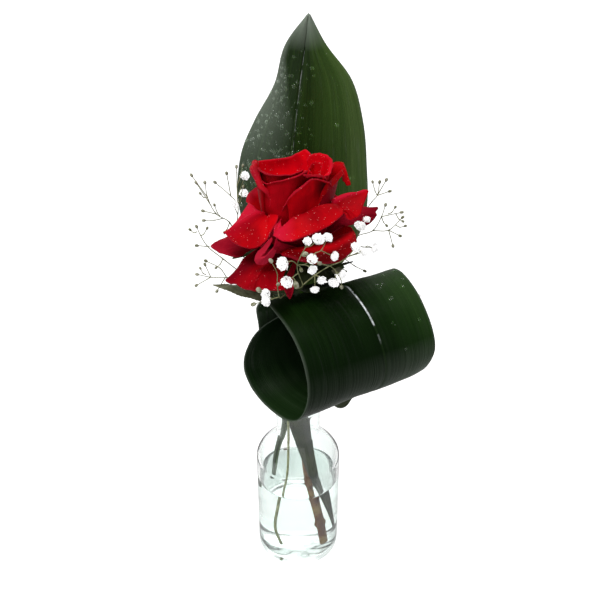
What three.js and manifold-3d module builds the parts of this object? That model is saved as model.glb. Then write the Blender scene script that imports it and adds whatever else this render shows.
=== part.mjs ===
// A red rose in a small glass bottle of water, with two aspidistra leaves and sprays of gypsophila.
// Millimetres, +Z up. The bottle stands on z = 0 with its axis on the Z axis, and +Y is the back.

import * as THREE from "three";
import { mergeVertices } from "three/addons/utils/BufferGeometryUtils.js";
import Module from "manifold-3d";

const wasm = await Module();
wasm.setup();

// Driving dimensions.
const clearance = 0.3;
const bottle = { radius: 31, height: 150, neckRadius: 16, wall: 2.6, heel: 7, base: 7 };
const shoulder = { low: 94, high: 120 };
const waterLevel = 75;
const flower = { x: -4, y: -26, z: 302, tiltBack: 4 };
const petalThickness = 0.5;
const clawThickness = 0.26;
const leafThickness = 0.9;
const roll = { x: 30, y: -46, z: 236, turned: 22, lifted: 3, taper: 0.07 };

const degree = Math.PI / 180;
const point = (x, y, z) => new THREE.Vector3(x, y, z);
const upward = point(0, 0, 1);
const mix = THREE.MathUtils.lerp;
const ease = THREE.MathUtils.smoothstep;

const material = (color, roughness, extra = {}) => (
  new THREE.MeshStandardMaterial({ color, roughness, metalness: 0, ...extra })
);
const finishes = {
  glass: material(0xdcefe9, 0.05, { transparent: true, opacity: 0.35 }),
  water: material(0xe4f4f0, 0.02, { transparent: true, opacity: 0.35 }),
  petal: material(0xb8071a, 0.6),
  sepal: material(0x3f5a2c, 0.6),
  roseLeaf: material(0x55653f, 0.55),
  bark: material(0x6a4a32, 0.8),
  broadLeaf: material(0x1d3a1c, 0.3),
  gypsophila: material(0x8fa06c, 0.7),
};

// A number read off a list of [position, value] pairs, straight between them.
function along(pairs, x) {
  const next = pairs.findIndex(([at]) => at >= x);
  if (next === 0) return pairs[0][1];
  if (next < 0) return pairs[pairs.length - 1][1];
  const [x0, y0] = pairs[next - 1];
  const [x1, y1] = pairs[next];
  return mix(y0, y1, (x - x0) / (x1 - x0));
}

// A closed solid through a row of loops. Every loop has the same even number of points.
// With parallel set, the two sides of a thin sheet are split alike, so they stay level where it is twisted.
function loft(loops, parallel = false) {
  const sides = loops[0].length;
  const faces = [];
  const quad = (a, b, c, d) => faces.push(a, b, c, a, c, d);
  for (let row = 0; row + 1 < loops.length; row += 1) {
    for (let side = 0; side < sides; side += 1) {
      const here = row * sides + side;
      const next = row * sides + ((side + 1) % sides);
      const front = side < sides / 2;
      if (front && parallel) quad(next, next + sides, here + sides, here);
      else quad(here, next, next + sides, here + sides);
    }
  }
  const last = (loops.length - 1) * sides;
  for (let side = 0; side + 1 < sides / 2; side += 1) {
    quad(side, sides - 1 - side, sides - 2 - side, side + 1);
    quad(last + side, last + side + 1, last + sides - 2 - side, last + sides - 1 - side);
  }
  const corners = loops.flat();
  let volume = 0;
  for (let face = 0; face < faces.length; face += 3) {
    const [a, b, c] = [0, 1, 2].map((corner) => corners[faces[face + corner]]);
    volume += a.dot(point().crossVectors(b, c));
  }
  if (volume < 0) faces.reverse();
  const geometry = new THREE.BufferGeometry();
  const numbers = corners.flatMap((corner) => corner.toArray());
  geometry.setAttribute("position", new THREE.Float32BufferAttribute(numbers, 3));
  geometry.setIndex(faces);
  return geometry;
}

// A round stem through hand-picked points, with some rings a span. Its radius follows t from 0 to 1.
function curveThrough(points) {
  return new THREE.CatmullRomCurve3(points.map((p) => point(...p)), false, "centripetal");
}
function stem(points, radiusAt, sides, rings) {
  const curve = curveThrough(points);
  const steps = (points.length - 1) * rings;
  const across = point(1, 0.3, 0);
  const loops = Array.from({ length: steps + 1 }, (_, step) => {
    const centre = curve.getPoint(step / steps);
    across.projectOnPlane(curve.getTangent(step / steps)).normalize();
    const up = curve.getTangent(step / steps).cross(across);
    return Array.from({ length: sides }, (__, side) => {
      const angle = (side / sides) * 2 * Math.PI;
      const out = across.clone().multiplyScalar(Math.cos(angle)).addScaledVector(up, Math.sin(angle));
      return centre.clone().addScaledVector(out, radiusAt(step / steps));
    });
  });
  return loft(loops);
}

// A thin solid about the surface at(u, v), with u from -1 to 1 across and v from 0 to 1 along.
function sheet(at, thicknessAt, across, steps, parallel = false) {
  const nudge = 1e-3;
  const loops = [];
  for (let step = 0; step <= steps; step += 1) {
    const front = [];
    const back = [];
    for (let column = 0; column <= across; column += 1) {
      const u = (column / across) * 2 - 1;
      const v = step / steps;
      const acrossWay = at(Math.min(u + nudge, 1), v).sub(at(Math.max(u - nudge, -1), v));
      const alongWay = at(u, Math.min(v + nudge, 1)).sub(at(u, Math.max(v - nudge, 0)));
      const half = acrossWay.cross(alongWay).normalize().multiplyScalar(thicknessAt(u, v) / 2);
      front.push(at(u, v).add(half));
      back.unshift(at(u, v).sub(half));
    }
    loops.push([...front, ...back]);
  }
  return loft(loops, parallel);
}

function solidOf(geometry) {
  const bare = geometry.clone();
  bare.deleteAttribute("normal");
  bare.deleteAttribute("uv");
  const merged = mergeVertices(bare, 1e-5);
  const vertProperties = merged.attributes.position.array;
  const triVerts = new Uint32Array(merged.index.array);
  return new wasm.Manifold(new wasm.Mesh({ numProp: 3, vertProperties, triVerts }));
}

function geometryOf(solid) {
  const mesh = solid.getMesh();
  const geometry = new THREE.BufferGeometry();
  geometry.setAttribute("position", new THREE.BufferAttribute(mesh.vertProperties, 3));
  geometry.setIndex(new THREE.BufferAttribute(mesh.triVerts, 1));
  return geometry;
}

const joined = (geometries) => geometryOf(geometries.map(solidOf).reduce((whole, next) => whole.add(next)));

const object = new THREE.Group();
function addPart(name, geometry, finish, group = object) {
  const mesh = new THREE.Mesh(geometry, finish);
  mesh.name = name;
  group.add(mesh);
}

// Bottle: one glass wall, open at the lip, with a thick domed base.
const neckTop = bottle.height - 3;
const lip = bottle.neckRadius + 1.4;
function quarter(centreX, centreY, radius, from, to, steps = 3) {
  return Array.from({ length: steps + 1 }, (_, step) => {
    const angle = mix(from, to, step / steps) * degree;
    return new THREE.Vector2(centreX + radius * Math.cos(angle), centreY + radius * Math.sin(angle));
  });
}
function shoulderLine(inset, steps = 5) {
  return Array.from({ length: steps + 1 }, (_, step) => {
    const t = step / steps;
    const radius = mix(bottle.radius, bottle.neckRadius, ease(t, 0, 1)) - inset;
    return new THREE.Vector2(radius, mix(shoulder.low, shoulder.high, t));
  });
}
const innerRadius = bottle.radius - bottle.wall;
const innerHeel = 5;
const domeRise = 1.6;
function innerFloor(inset) {
  return [
    new THREE.Vector2(0, bottle.base + domeRise + inset),
    new THREE.Vector2(innerRadius - innerHeel - 6, bottle.base + inset),
    ...quarter(innerRadius - innerHeel, bottle.base + innerHeel, innerHeel - inset, -90, 0),
  ];
}
const bottleOutline = [
  new THREE.Vector2(0, 0),
  new THREE.Vector2(bottle.radius - bottle.heel, 0),
  ...quarter(bottle.radius - bottle.heel, bottle.heel, bottle.heel, -80, 0),
  ...shoulderLine(0),
  new THREE.Vector2(bottle.neckRadius, neckTop - 5),
  new THREE.Vector2(lip, neckTop - 3.6),
  ...quarter(lip - 1.5, neckTop + 1.5, 1.5, 0, 90),
  new THREE.Vector2(bottle.neckRadius - bottle.wall, bottle.height - 1.6),
  ...shoulderLine(bottle.wall).reverse(),
  ...innerFloor(0).reverse(),
];
addPart("bottle", new THREE.LatheGeometry(bottleOutline, 32).rotateX(Math.PI / 2), finishes.glass);

// Rose stem: woody, with swellings at the nodes, prickles and the hip that carries the petals.
const stemPath = [
  [15, -5, 10.5], [12, -4.5, 32], [8, -3, 62], [4, 1, 100], [1.5, 3.5, 140],
  [-1, 1, 190], [-4, -6, 236], [-5, -15, 268], [flower.x, flower.y + 1, flower.z - 16],
];
const stemNodes = [0.125, 0.25, 0.5, 0.75];
function stemRadius(t) {
  const swelling = stemNodes.reduce((sum, node) => sum + 0.7 * Math.exp(-(((t - node) / 0.012) ** 2)), 0);
  return mix(2.7, 2.2, t) + swelling;
}
const hipOutline = [
  [0, -22], [2.2, -22], [3.6, -18], [7.4, -12.5], [10.3, -8.4], [10.3, -6.6], [0, 3],
].map(([r, z]) => new THREE.Vector2(r, z));
const flowerFrame = new THREE.Group();
flowerFrame.position.set(flower.x, flower.y, flower.z);
flowerFrame.rotation.x = -flower.tiltBack * degree;
flowerFrame.updateMatrix();
const hip = new THREE.LatheGeometry(hipOutline, 16).rotateX(Math.PI / 2).applyMatrix4(flowerFrame.matrix);
const prickleLength = 7;
function prickle(t, turn) {
  const foot = curveThrough(stemPath).getPoint(t);
  const out = point(Math.cos(turn * degree), Math.sin(turn * degree), 0);
  const tip = foot.clone().addScaledVector(out, prickleLength).add(point(0, 0, -1.5));
  const path = [foot, foot.clone().lerp(tip, 0.5), tip].map((p) => p.toArray());
  return stem(path, (s) => mix(1.9, 0.2, s), 6, 1);
}
const prickles = [[0.55, 20], [0.62, 190], [0.7, 60], [0.8, 170]];
const roseStem = joined([
  stem(stemPath, stemRadius, 8, 4),
  hip,
  ...prickles.map(([t, turn]) => prickle(t, turn)),
]);
addPart("rose_stem", roseStem, finishes.bark);

// Petals: each lies on its own layer. Layer 0 is the tight centre and layer 1 the open outside.
// A layer leans from the flower's axis by the angles below, at the distances below from its foot.
const reach = [0, 10, 22, 36, 52];
const leans = [
  [0, [8, 0, -2, -8, -20]],
  [0.3, [26, 10, 2, 2, 12]],
  [0.5, [38, 18, 4, 14, 38]],
  [0.8, [52, 22, 8, 66, 122]],
  [0.93, [72, 56, 58, 90, 122]],
  [1, [80, 75, 80, 108, 135]],
  [1.2, [96, 104, 122, 138, 150]],
];
function lean(layer, distance) {
  const atDistance = leans.map(([at, angles]) => [at, along(reach.map((r, i) => [r, angles[i]]), distance)]);
  return along(atDistance, layer) * degree;
}
function meridian(layer, distance) {
  const stride = 1;
  let radius = 2 + 7.5 * layer;
  let height = 2 - 7 * layer;
  for (let gone = 0; gone < distance; gone += stride) {
    const part = Math.min(stride, distance - gone);
    const angle = lean(layer, gone + part / 2);
    radius += Math.sin(angle) * part;
    height += Math.cos(angle) * part;
  }
  return [radius, height];
}
function petal(shape, across, steps) {
  const { layer, azimuth, length, width, point: pointed = 0.2, claw = 0.25, parallel = false } = shape;
  const widest = 110 * degree;
  const at = (u, v) => {
    const distance = v * length * (1 - pointed * Math.abs(u) ** 1.8);
    const [radius, height] = meridian(layer, distance);
    const halfWidth = (width / 2) * mix(claw, 1, ease(v, 0.05, 0.8));
    const turn = azimuth * degree + u * Math.min(halfWidth / radius, widest);
    return point(radius * Math.cos(turn), radius * Math.sin(turn), height);
  };
  return sheet(at, (u, v) => mix(clawThickness, petalThickness, ease(v, 0, 0.4)), across, steps, parallel);
}
const outerPetals = [
  { layer: 1.0, azimuth: -124, length: 53, width: 50, point: 0.4 },
  { layer: 0.93, azimuth: -56, length: 46, width: 58, point: 0.25 },
  { layer: 0.97, azimuth: 11, length: 50, width: 28, point: 0.4 },
  { layer: 0.965, azimuth: 192, length: 50, width: 38, point: 0.45 },
  { layer: 0.9, azimuth: 62, length: 43, width: 44 },
  { layer: 0.87, azimuth: 122, length: 40, width: 34 },
  { layer: 0.85, azimuth: -145, length: 54, width: 46, point: 0.35 },
  { layer: 0.71, azimuth: -14, length: 61, width: 42, point: 0.4 },
  { layer: 0.79, azimuth: -72, length: 53, width: 60, point: 0.3 },
  { layer: 0.76, azimuth: 102, length: 44, width: 34 },
  { layer: 0.655, azimuth: 29, length: 54, width: 26 },
].map((shape) => petal({ ...shape, parallel: true }, 6, 9));
const cupPetals = [
  { layer: 0.61, azimuth: 104, length: 55, width: 52, point: 0.12 },
  { layer: 0.56, azimuth: 176, length: 52, width: 42 },
  { layer: 0.51, azimuth: -62, length: 49, width: 44 },
  { layer: 0.46, azimuth: 14, length: 51, width: 38 },
  { layer: 0.41, azimuth: -116, length: 49, width: 40 },
  { layer: 0.36, azimuth: 66, length: 51, width: 38, point: 0.12 },
].map((shape) => petal(shape, 8, 6));
const goldenTurn = 137.5;
const innerPetals = Array.from({ length: 8 }, (_, i) => (
  { layer: 0.31 - i * 0.04, azimuth: 140 + i * goldenTurn, length: 46 - i * 1.4, width: 32 - i * 2.2 }
)).map((shape) => petal(shape, 8, 5));
[...outerPetals, ...cupPetals, ...innerPetals].forEach((shape, index) => {
  addPart(`petal_${String(index + 1).padStart(2, "0")}`, shape, finishes.petal, flowerFrame);
});
object.add(flowerFrame);

// Sepals: five narrow green leaves turned down under the petals.
for (let index = 0; index < 5; index += 1) {
  const shape = { layer: 1.15, azimuth: -100 + index * 72, length: 27, width: 10, point: 0.8, claw: 0.7 };
  addPart(`sepal_${index + 1}`, petal(shape, 4, 5), finishes.sepal, flowerFrame);
}

// A flat leaf between a midrib and two margins, each a smooth curve through hand-picked points.
function blade(midrib, left, right, thicknessAt, across, steps) {
  const [middle, first, second] = [midrib, left, right].map(curveThrough);
  const at = (u, v) => middle.getPoint(v).lerp((u < 0 ? first : second).getPoint(v), Math.abs(u));
  return sheet(at, thicknessAt, across, steps);
}

// Upright leaf: petiole in the neck, blade behind the flower with its left half folded back.
const petioleHalf = 2.2;
const uprightMidrib = [
  [-20, 4, 60], [-16, 4.5, 92], [-8.6, 4.5, 124], [-7.5, 8, 165], [-7, 22, 215], [-7, 28, 252],
  [-6, 28, 290], [-4.5, 28, 322], [-2, 28, 350], [1.5, 28, 380], [4.5, 27.5, 403], [6.6, 27, 424.5],
];
function besidePetiole(shifts) {
  return shifts.map((shift, i) => [uprightMidrib[i][0] + shift, uprightMidrib[i][1], uprightMidrib[i][2]]);
}
const uprightLeft = [
  ...besidePetiole([-petioleHalf, -petioleHalf, -petioleHalf, -petioleHalf, -12]),
  [-34, 46, 250], [-41, 53, 284], [-38, 52.5, 318], [-28, 49, 345], [-14.5, 42, 374], [-7.6, 34, 402],
  [6, 27.1, 424],
];
const uprightRight = [
  ...besidePetiole([petioleHalf, petioleHalf, petioleHalf, petioleHalf, 11]),
  [34, 38, 246], [46, 37, 282], [45, 35, 322], [41.5, 33, 352], [33.5, 31, 381], [17, 28, 405],
  [7.2, 27, 424],
];
const uprightThickness = (u, v) => mix(3.6, leafThickness, ease(v, 0.3, 0.45)) * (1 - 0.4 * u * u);
const uprightLeaf = blade(uprightMidrib, uprightLeft, uprightRight, uprightThickness, 6, 22);
addPart("upright_leaf", uprightLeaf, finishes.broadLeaf);

// Rolled leaf: a folded foot in the bottle, then one and a quarter turns about a nearly level axis.
const rollBack = point(-Math.sin(roll.turned * degree), Math.cos(roll.turned * degree), 0);
const rollAxis = point(rollBack.y, -rollBack.x, Math.tan(roll.lifted * degree)).normalize();
const rollUp = point().crossVectors(rollAxis, rollBack);
// A stop on the leaf's own line: turn about the axis, distance from it, and shift along it.
function rollStop(turn, radius, shift) {
  return point(roll.x, roll.y, roll.z)
    .addScaledVector(rollAxis, shift)
    .addScaledVector(rollBack, Math.cos(turn * degree) * radius)
    .addScaledVector(rollUp, Math.sin(turn * degree) * radius);
}
const rolledFoot = [
  [23, -6, 24], [16, -8, 62], [7, -7.5, 105], [2.5, -6.5, 135], [4, -7, 160],
].map((p) => point(...p));
const wrap = [
  [-55, 45, -8], [-25, 40, -3], [0, 37, 0], [30, 36.5, -2], [60, 36, -4], [90, 36, -5], [120, 36, -3],
  [150, 36, -1], [180, 36, 0], [210, 36, -3], [240, 35.5, -8], [270, 34, -14], [300, 32.5, -19],
  [330, 31.5, -22], [360, 30.5, -19], [385, 29, -13], [410, 27.5, -8],
];
const wrapLine = wrap.map(([turn, radius, shift]) => rollStop(turn, radius, shift));
const rolledLine = new THREE.CatmullRomCurve3([...rolledFoot, ...wrapLine], false, "centripetal");
// Half width on the two sides, read off along the leaf from 0 to 1.
const rolledLeft = [
  [0, 1], [0.1, 3], [0.3, 7], [0.34, 9], [0.42, 26], [0.5, 40], [0.6, 46], [0.72, 46], [0.88, 44], [1, 14],
];
const rolledRight = [
  [0, 1], [0.1, 3], [0.3, 8], [0.34, 18], [0.4, 42], [0.48, 47], [0.6, 48], [0.68, 45], [0.76, 44],
  [0.88, 40], [1, 12],
];
// The folded foot opens out as it leaves the bottle, and the roll is wider at its mouth, on the left.
const foldedFoot = 55;
function rolledAt(u, v, margin = 0) {
  const centre = rolledLine.getPointAt(v);
  const reachOut = u * (along(u < 0 ? rolledLeft : rolledRight, v) + margin);
  const fold = mix(foldedFoot, 0, ease(v, 0.24, 0.36)) * degree;
  const fromAxis = centre.clone().sub(point(roll.x, roll.y, roll.z)).projectOnPlane(rollAxis).normalize();
  return centre
    .addScaledVector(rollAxis, reachOut * Math.cos(fold))
    .addScaledVector(rollBack, Math.abs(reachOut) * Math.sin(fold))
    .addScaledVector(fromAxis, -reachOut * roll.taper * ease(v, 0.36, 0.5));
}
addPart("rolled_leaf", sheet(rolledAt, () => leafThickness, 8, 38), finishes.broadLeaf);

// Rose leaflets: three small leaves on the stem under the flower.
function leaflet(name, foot, middle, tip, halfWidth, droop) {
  const line = new THREE.CatmullRomCurve3([foot, middle, tip].map((p) => point(...p)));
  const across = point(...tip).sub(point(...foot)).cross(upward).normalize();
  const at = (u, v) => {
    const taper = Math.sqrt(Math.max(0.004, 1 - ease(v, 0.45, 1)));
    const half = mix(0.7, halfWidth, ease(v, 0.12, 0.45)) * taper;
    const sag = -droop * half * u * u;
    return line.getPointAt(v).addScaledVector(across, u * half).addScaledVector(upward, sag);
  };
  addPart(name, sheet(at, () => 0.7, 4, 8), finishes.roseLeaf);
}
leaflet("rose_leaf_left", [-8.2, -15, 252], [-28, -28, 264], [-53, -32, 271], 8.5, 0.3);
leaflet("rose_leaf_right", [-1, -15, 262], [14, -22, 277], [31, -30, 280], 9, 0.2);
leaflet("rose_leaf_back", [-8, -10, 258], [-20, -8, 274], [-33, -10, 285], 8, 0.2);

// Gypsophila: one branching sprig. Each twig ends in a flower, in a bud or in a fork.
const twigRadius = 0.55;
const bloomRadius = 2.7;
const budRadius = 1.3;
const sprigRadius = (t) => mix(1.2, 0.9, t);
const sprigStem = [
  [-10, -5, 11], [-13, -5, 26], [-10.5, -6, 52], [-8, -6.5, 82], [-6.8, -6.5, 112], [-6.5, -6, 140],
  [-7.5, -3, 175], [-10, -1, 210], [-12, -1, 236],
];
const twigs = [
  // left, high
  { end: "bud", path: [
    [-12, -1, 234], [-34, -5, 272], [-43, -6, 301],
    [-51, -6, 307], [-56, -6, 319], [-57, -6, 329],
  ] },
  { end: "bud", path: [[-54, -6, 313], [-62, -8, 330]] },
  { end: "bud", path: [[-56, -6, 319], [-65, -4, 333]] },
  { end: "bud", path: [[-47, -6, 304], [-52, -10, 305], [-58, -12, 306]] },
  { end: "bud", path: [[-51, -6, 307], [-59, -4, 308]] },
  { end: "bud", path: [[-34, -5, 272], [-39, -2, 290], [-38, 1, 310], [-42, 1, 316], [-51, 0, 326]] },
  { end: "bud", path: [[-42, 1, 316], [-44, 2, 331]] },
  { end: "bud", path: [[-38, 1, 310], [-38, 3, 322], [-38, 5, 334]] },
  { end: "flower", path: [[-38, 2, 314], [-33, 3, 329]] },
  { end: "flower", path: [[-38, 1, 308], [-34, 2, 317]] },
  { end: "flower", path: [[-38, 0, 303], [-40, -5, 313]] },
  // left, low
  { end: "bud", path: [
    [-20, -2, 247], [-34, -12, 264], [-45, -24, 271],
    [-55, -25, 272], [-63, -25, 274],
  ] },
  { end: "bud", path: [
    [-34, -12, 264], [-47, -22, 284], [-56, -22, 293],
    [-60, -22, 301], [-62, -22, 307],
  ] },
  { end: "bud", path: [[-55, -22, 293], [-62, -24, 295]] },
  { end: "bud", path: [[-45, -24, 271], [-49, -25, 279], [-57, -25, 284]] },
  { end: "bud", path: [[-55, -25, 272], [-64, -25, 266]] },
  { end: "bud", path: [[-55, -25, 272], [-58, -25, 281]] },
  { end: "bud", path: [[-46, -24, 271], [-51, -28, 264]] },
  // right
  { end: "bud", path: [
    [-12, -1, 234], [4, 1, 250], [28, 0, 272], [38, -2, 288],
    [48, -3, 293], [53, -4, 304], [55, -4, 312],
  ] },
  { end: "bud", path: [[38, -2, 288], [41, 1, 301], [47, 1, 312], [50, 0, 317], [51, 0, 326]] },
  { end: "bud", path: [[50, 0, 317], [55, 1, 327]] },
  { end: "bud", path: [[50, 0, 317], [57, -2, 321]] },
  { end: "bud", path: [[48, -3, 293], [58, -4, 294], [66, -4, 303]] },
  { end: "bud", path: [[58, -4, 294], [65, -4, 290]] },
  { end: "bud", path: [[58, -4, 294], [61, -6, 284]] },
  { end: "bud", path: [[53, -4, 304], [65, -4, 307]] },
  { end: "flower", path: [[34, -1, 282], [43, -7, 283], [49, -9, 284]] },
  { end: "bud", path: [[28, 0, 272], [37, -6, 268], [43, -10, 267]] },
  // front
  { end: "flower", path: [
    [-12, -1, 232], [-13, -9, 250], [-14, -26, 268], [-4, -50, 281],
    [5, -80, 292], [8, -86, 305], [8, -86, 320],
  ] },
  { end: "flower", path: [[8, -86, 312], [12, -87, 325], [9, -85, 336]] },
  { end: "flower", path: [[12, -87, 325], [18, -84, 336]] },
  { end: "flower", path: [[8, -86, 306], [16, -85, 314], [22, -83, 324]] },
  { end: "bud", path: [[8, -86, 312], [4, -86, 327]] },
  { end: "flower", path: [[5, -80, 292], [-1, -84, 308], [-7, -85, 321]] },
  { end: "bud", path: [[-1, -84, 308], [-14, -85, 320]] },
  { end: "flower", path: [[6, -80, 292], [-5, -82, 300], [-6, -82, 308]] },
  { end: "flower", path: [[-5, -82, 300], [-12, -81, 302]] },
  { end: "flower", path: [[-4, -50, 281], [-10, -74, 288], [-18, -81, 295]] },
  { end: "flower", path: [[6, -80, 292], [14, -83, 300], [15, -83, 309]] },
  { end: "flower", path: [[14, -83, 300], [23, -80, 304]] },
  { end: "flower", path: [[5, -80, 292], [20, -80, 296], [31, -77, 309]] },
  { end: "flower", path: [[20, -80, 296], [37, -72, 306], [44, -62, 324]] },
];
function twig({ end, path }) {
  const tip = point(...path[path.length - 1]);
  const stalk = stem(path, (t) => twigRadius * mix(1, 0.8, t), 4, 1);
  const head = new THREE.IcosahedronGeometry(end === "bud" ? budRadius : bloomRadius, 0);
  return [stalk, head.translate(tip.x, tip.y, tip.z)];
}
const sprig = joined([stem(sprigStem, sprigRadius, 8, 3), ...twigs.flatMap(twig)]);
addPart("gypsophila", sprig, finishes.gypsophila);

// Water: fills the bottle to its level, hollowed where the stems and the folded leaf stand in it.
const waterOutline = [
  ...innerFloor(clearance),
  new THREE.Vector2(innerRadius - clearance, waterLevel),
  new THREE.Vector2(0, waterLevel),
];
// The same path with its foot set a little lower, so that its end stands clear too.
function lowered(path) {
  const [first, second] = path.map((p) => point(...p));
  return [first.clone().add(first.clone().sub(second).setLength(clearance)).toArray(), ...path.slice(1)];
}
const hollows = [
  stem(lowered(stemPath), (t) => stemRadius(t) + clearance, 8, 4),
  stem(lowered(sprigStem), (t) => sprigRadius(t) + clearance, 8, 3),
  stem(lowered(uprightMidrib.slice(0, 3)), () => petioleHalf + 1.1, 10, 4),
  sheet((u, v) => rolledAt(u, v * 0.4, clearance), () => leafThickness + 2 * clearance, 8, 18),
];
const water = hollows.map(solidOf).reduce(
  (left, hollow) => left.subtract(hollow),
  solidOf(new THREE.LatheGeometry(waterOutline, 32).rotateX(Math.PI / 2)),
);
addPart("water", geometryOf(water), finishes.water);

object.updateMatrixWorld(true);

export default object;
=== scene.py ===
# A red rose in a small glass bottle of water, with two broad leaves and sprays of gypsophila.
import math
import bpy
import bmesh
from mathutils import Matrix, Vector, noise


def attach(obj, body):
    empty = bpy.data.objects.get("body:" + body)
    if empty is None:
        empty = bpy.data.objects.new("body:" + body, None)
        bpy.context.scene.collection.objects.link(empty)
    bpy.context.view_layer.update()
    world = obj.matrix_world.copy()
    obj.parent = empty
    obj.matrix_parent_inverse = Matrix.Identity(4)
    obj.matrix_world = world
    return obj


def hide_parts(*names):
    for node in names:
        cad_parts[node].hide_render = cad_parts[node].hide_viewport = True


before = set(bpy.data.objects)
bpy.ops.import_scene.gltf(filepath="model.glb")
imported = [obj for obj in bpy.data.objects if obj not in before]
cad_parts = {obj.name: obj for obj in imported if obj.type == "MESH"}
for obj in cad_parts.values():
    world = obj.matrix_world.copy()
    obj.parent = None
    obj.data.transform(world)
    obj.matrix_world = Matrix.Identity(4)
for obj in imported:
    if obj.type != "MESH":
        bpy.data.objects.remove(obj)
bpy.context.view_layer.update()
mm = 0.001
up = Vector((0, 0, 1))


def ease(x, low, high):
    t = min(max((x - low) / (high - low), 0), 1)
    return t * t * (3 - 2 * t)


def mix(a, b, t):
    return a + (b - a) * t


def along(pairs, x):  # a value read off a list of (position, value) pairs
    if x <= pairs[0][0]:
        return pairs[0][1]
    for (x0, y0), (x1, y1) in zip(pairs, pairs[1:]):
        if x <= x1:
            return mix(y0, y1, (x - x0) / (x1 - x0))
    return pairs[-1][1]


# ---- node helpers
def plug(tree, socket, value):  # a link from another node's output, or a plain value
    if isinstance(value, bpy.types.NodeSocket):
        tree.links.new(value, socket)
    else:
        socket.default_value = value


def nodeTool(tree):  # returns a short way to add one node, set its values and link its inputs
    def add(kind, links=None, **values):
        node = tree.nodes.new(kind)
        for key, value in values.items():
            setattr(node, key, value)
        for socket, source in (links or {}).items():
            plug(tree, node.inputs[socket], source)
        return node
    return add


def reckon(add, operation, *inputs, **values):  # one step of arithmetic
    return add("ShaderNodeMath", dict(enumerate(inputs)), operation=operation, **values).outputs[0]


def times(add, first, second):
    return reckon(add, "MULTIPLY", first, second)


def fit(add, value, low, high, start=0.0, end=1.0, **values):  # low to high becomes start to end
    links = {0: value, 1: low, 2: high, 3: start, 4: end}
    return add("ShaderNodeMapRange", links, **values).outputs[0]


def setInputs(node, values):
    for label, value in values.items():
        node.inputs[label].default_value = value


# ---- camera and stage
view = {"place": (1.5, -563, 638), "pitch": 35.5, "lens": 61.62, "sensor": 36, "farthest": 30}
camera = bpy.data.objects.new("camera", bpy.data.cameras.new("camera"))
camera.data.lens = view["lens"]
camera.data.sensor_width = view["sensor"]
camera.location = Vector(view["place"]) * mm
camera.rotation_euler = (math.radians(90 - view["pitch"]), 0, 0)
camera.data.clip_end = view["farthest"]
bpy.context.collection.objects.link(camera)
bpy.context.scene.camera = camera

bpy.context.scene.view_settings.view_transform = "Standard"

studio = {
    "lights": [  # name, place in metres, size, watts, colour
        ("overhead", (-0.35, -0.45, 1.9), 0.7, 16, (1, 0.99, 0.97)),
        ("front", (0.4, -2.2, 1.1), 1.5, 4.5, (1, 1, 1)),
        ("leftCard", (-1.4, -0.95, 0.28), 1.0, 6, (0.97, 0.99, 1)),
        ("behind", (0.5, 1.7, 1.3), 1.2, 4.5, (1, 1, 1)),
    ],
    "aim": (0, -0.02, 0.27),  # what the lamps face
    "roomHalf": 3.0,
    "corner": 0.5,  # how much of that the room's corners are rounded over
    "ambient": 0.17,  # what the walls give to matt surfaces
    "mirrored": 0.5,  # how bright they look in glossy ones
    "floorGlow": 0.76,  # what the floor adds for the camera, so it stays nearly white
    "throughGlow": 0.66,  # the same through glass and water
    "farGlow": 1.05,  # the same far from the object
    "farFrom": (0.5, 1.6),
    "paper": 0.9,
    "bounce": 0.2,  # how much light the floor throws back up at the object
    "sideShade": 0.6,  # how dark the room's near side and flanks look through glass
    "nearSide": (-1.6, -0.6),
    "flanks": (0.9, 1.8),
}


def makeLamps():
    for name, place, size, watts, colour in studio["lights"]:
        lamp = bpy.data.lights.new(name, "AREA")
        lamp.size = size
        lamp.energy = watts
        lamp.color = colour
        holder = bpy.data.objects.new(name, lamp)
        holder.location = place
        facing = Vector(studio["aim"]) - Vector(place)
        holder.rotation_euler = facing.to_track_quat("-Z", "Y").to_euler()
        holder.visible_camera = False
        bpy.context.collection.objects.link(holder)


def paperMaterial():  # white to the camera, darker as a source of light
    paper = bpy.data.materials.new("paper")
    paper.use_nodes = True
    tree = paper.node_tree
    add = nodeTool(tree)
    shader = tree.nodes["Principled BSDF"]
    setInputs(shader, {"Roughness": 1, "Specular IOR Level": 0, "Emission Color": (1, 1, 1, 1)})
    rays = add("ShaderNodeLightPath").outputs
    place = add("ShaderNodeNewGeometry").outputs["Position"]
    parts = add("ShaderNodeSeparateXYZ", {0: place}).outputs
    away = add("ShaderNodeVectorMath", {0: place}, operation="LENGTH").outputs["Value"]
    smooth = {"interpolation_type": "SMOOTHSTEP"}
    through = reckon(add, "ADD", rays["Transmission Depth"], 0, use_clamp=True)
    close = fit(add, through, 0, 1, studio["floorGlow"], studio["throughGlow"])
    far = fit(add, away, *studio["farFrom"], close, studio["farGlow"], **smooth)
    near = fit(add, parts[1], *studio["nearSide"], studio["sideShade"], 1, **smooth)
    across = reckon(add, "ABSOLUTE", parts[0])
    sides = fit(add, across, *studio["flanks"], 1, studio["sideShade"], **smooth)
    dim = reckon(add, "MINIMUM", near, sides)
    shaded = times(add, reckon(add, "SUBTRACT", 1, dim), through)
    seen = times(add, far, reckon(add, "SUBTRACT", 1, shaded))
    direct = reckon(add, "MAXIMUM", rays["Is Camera Ray"], through)
    straight = reckon(add, "SUBTRACT", direct, rays["Diffuse Depth"], use_clamp=True)
    grey = fit(add, straight, 0, 1, studio["bounce"], studio["paper"])
    paint = add("ShaderNodeCombineColor", {0: grey, 1: grey, 2: grey}).outputs[0]
    tree.links.new(paint, shader.inputs["Base Color"])
    matt = fit(add, rays["Is Glossy Ray"], 0, 1, studio["ambient"], studio["mirrored"])
    tree.links.new(fit(add, straight, 0, 1, matt, seen), shader.inputs["Emission Strength"])
    return paper


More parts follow.
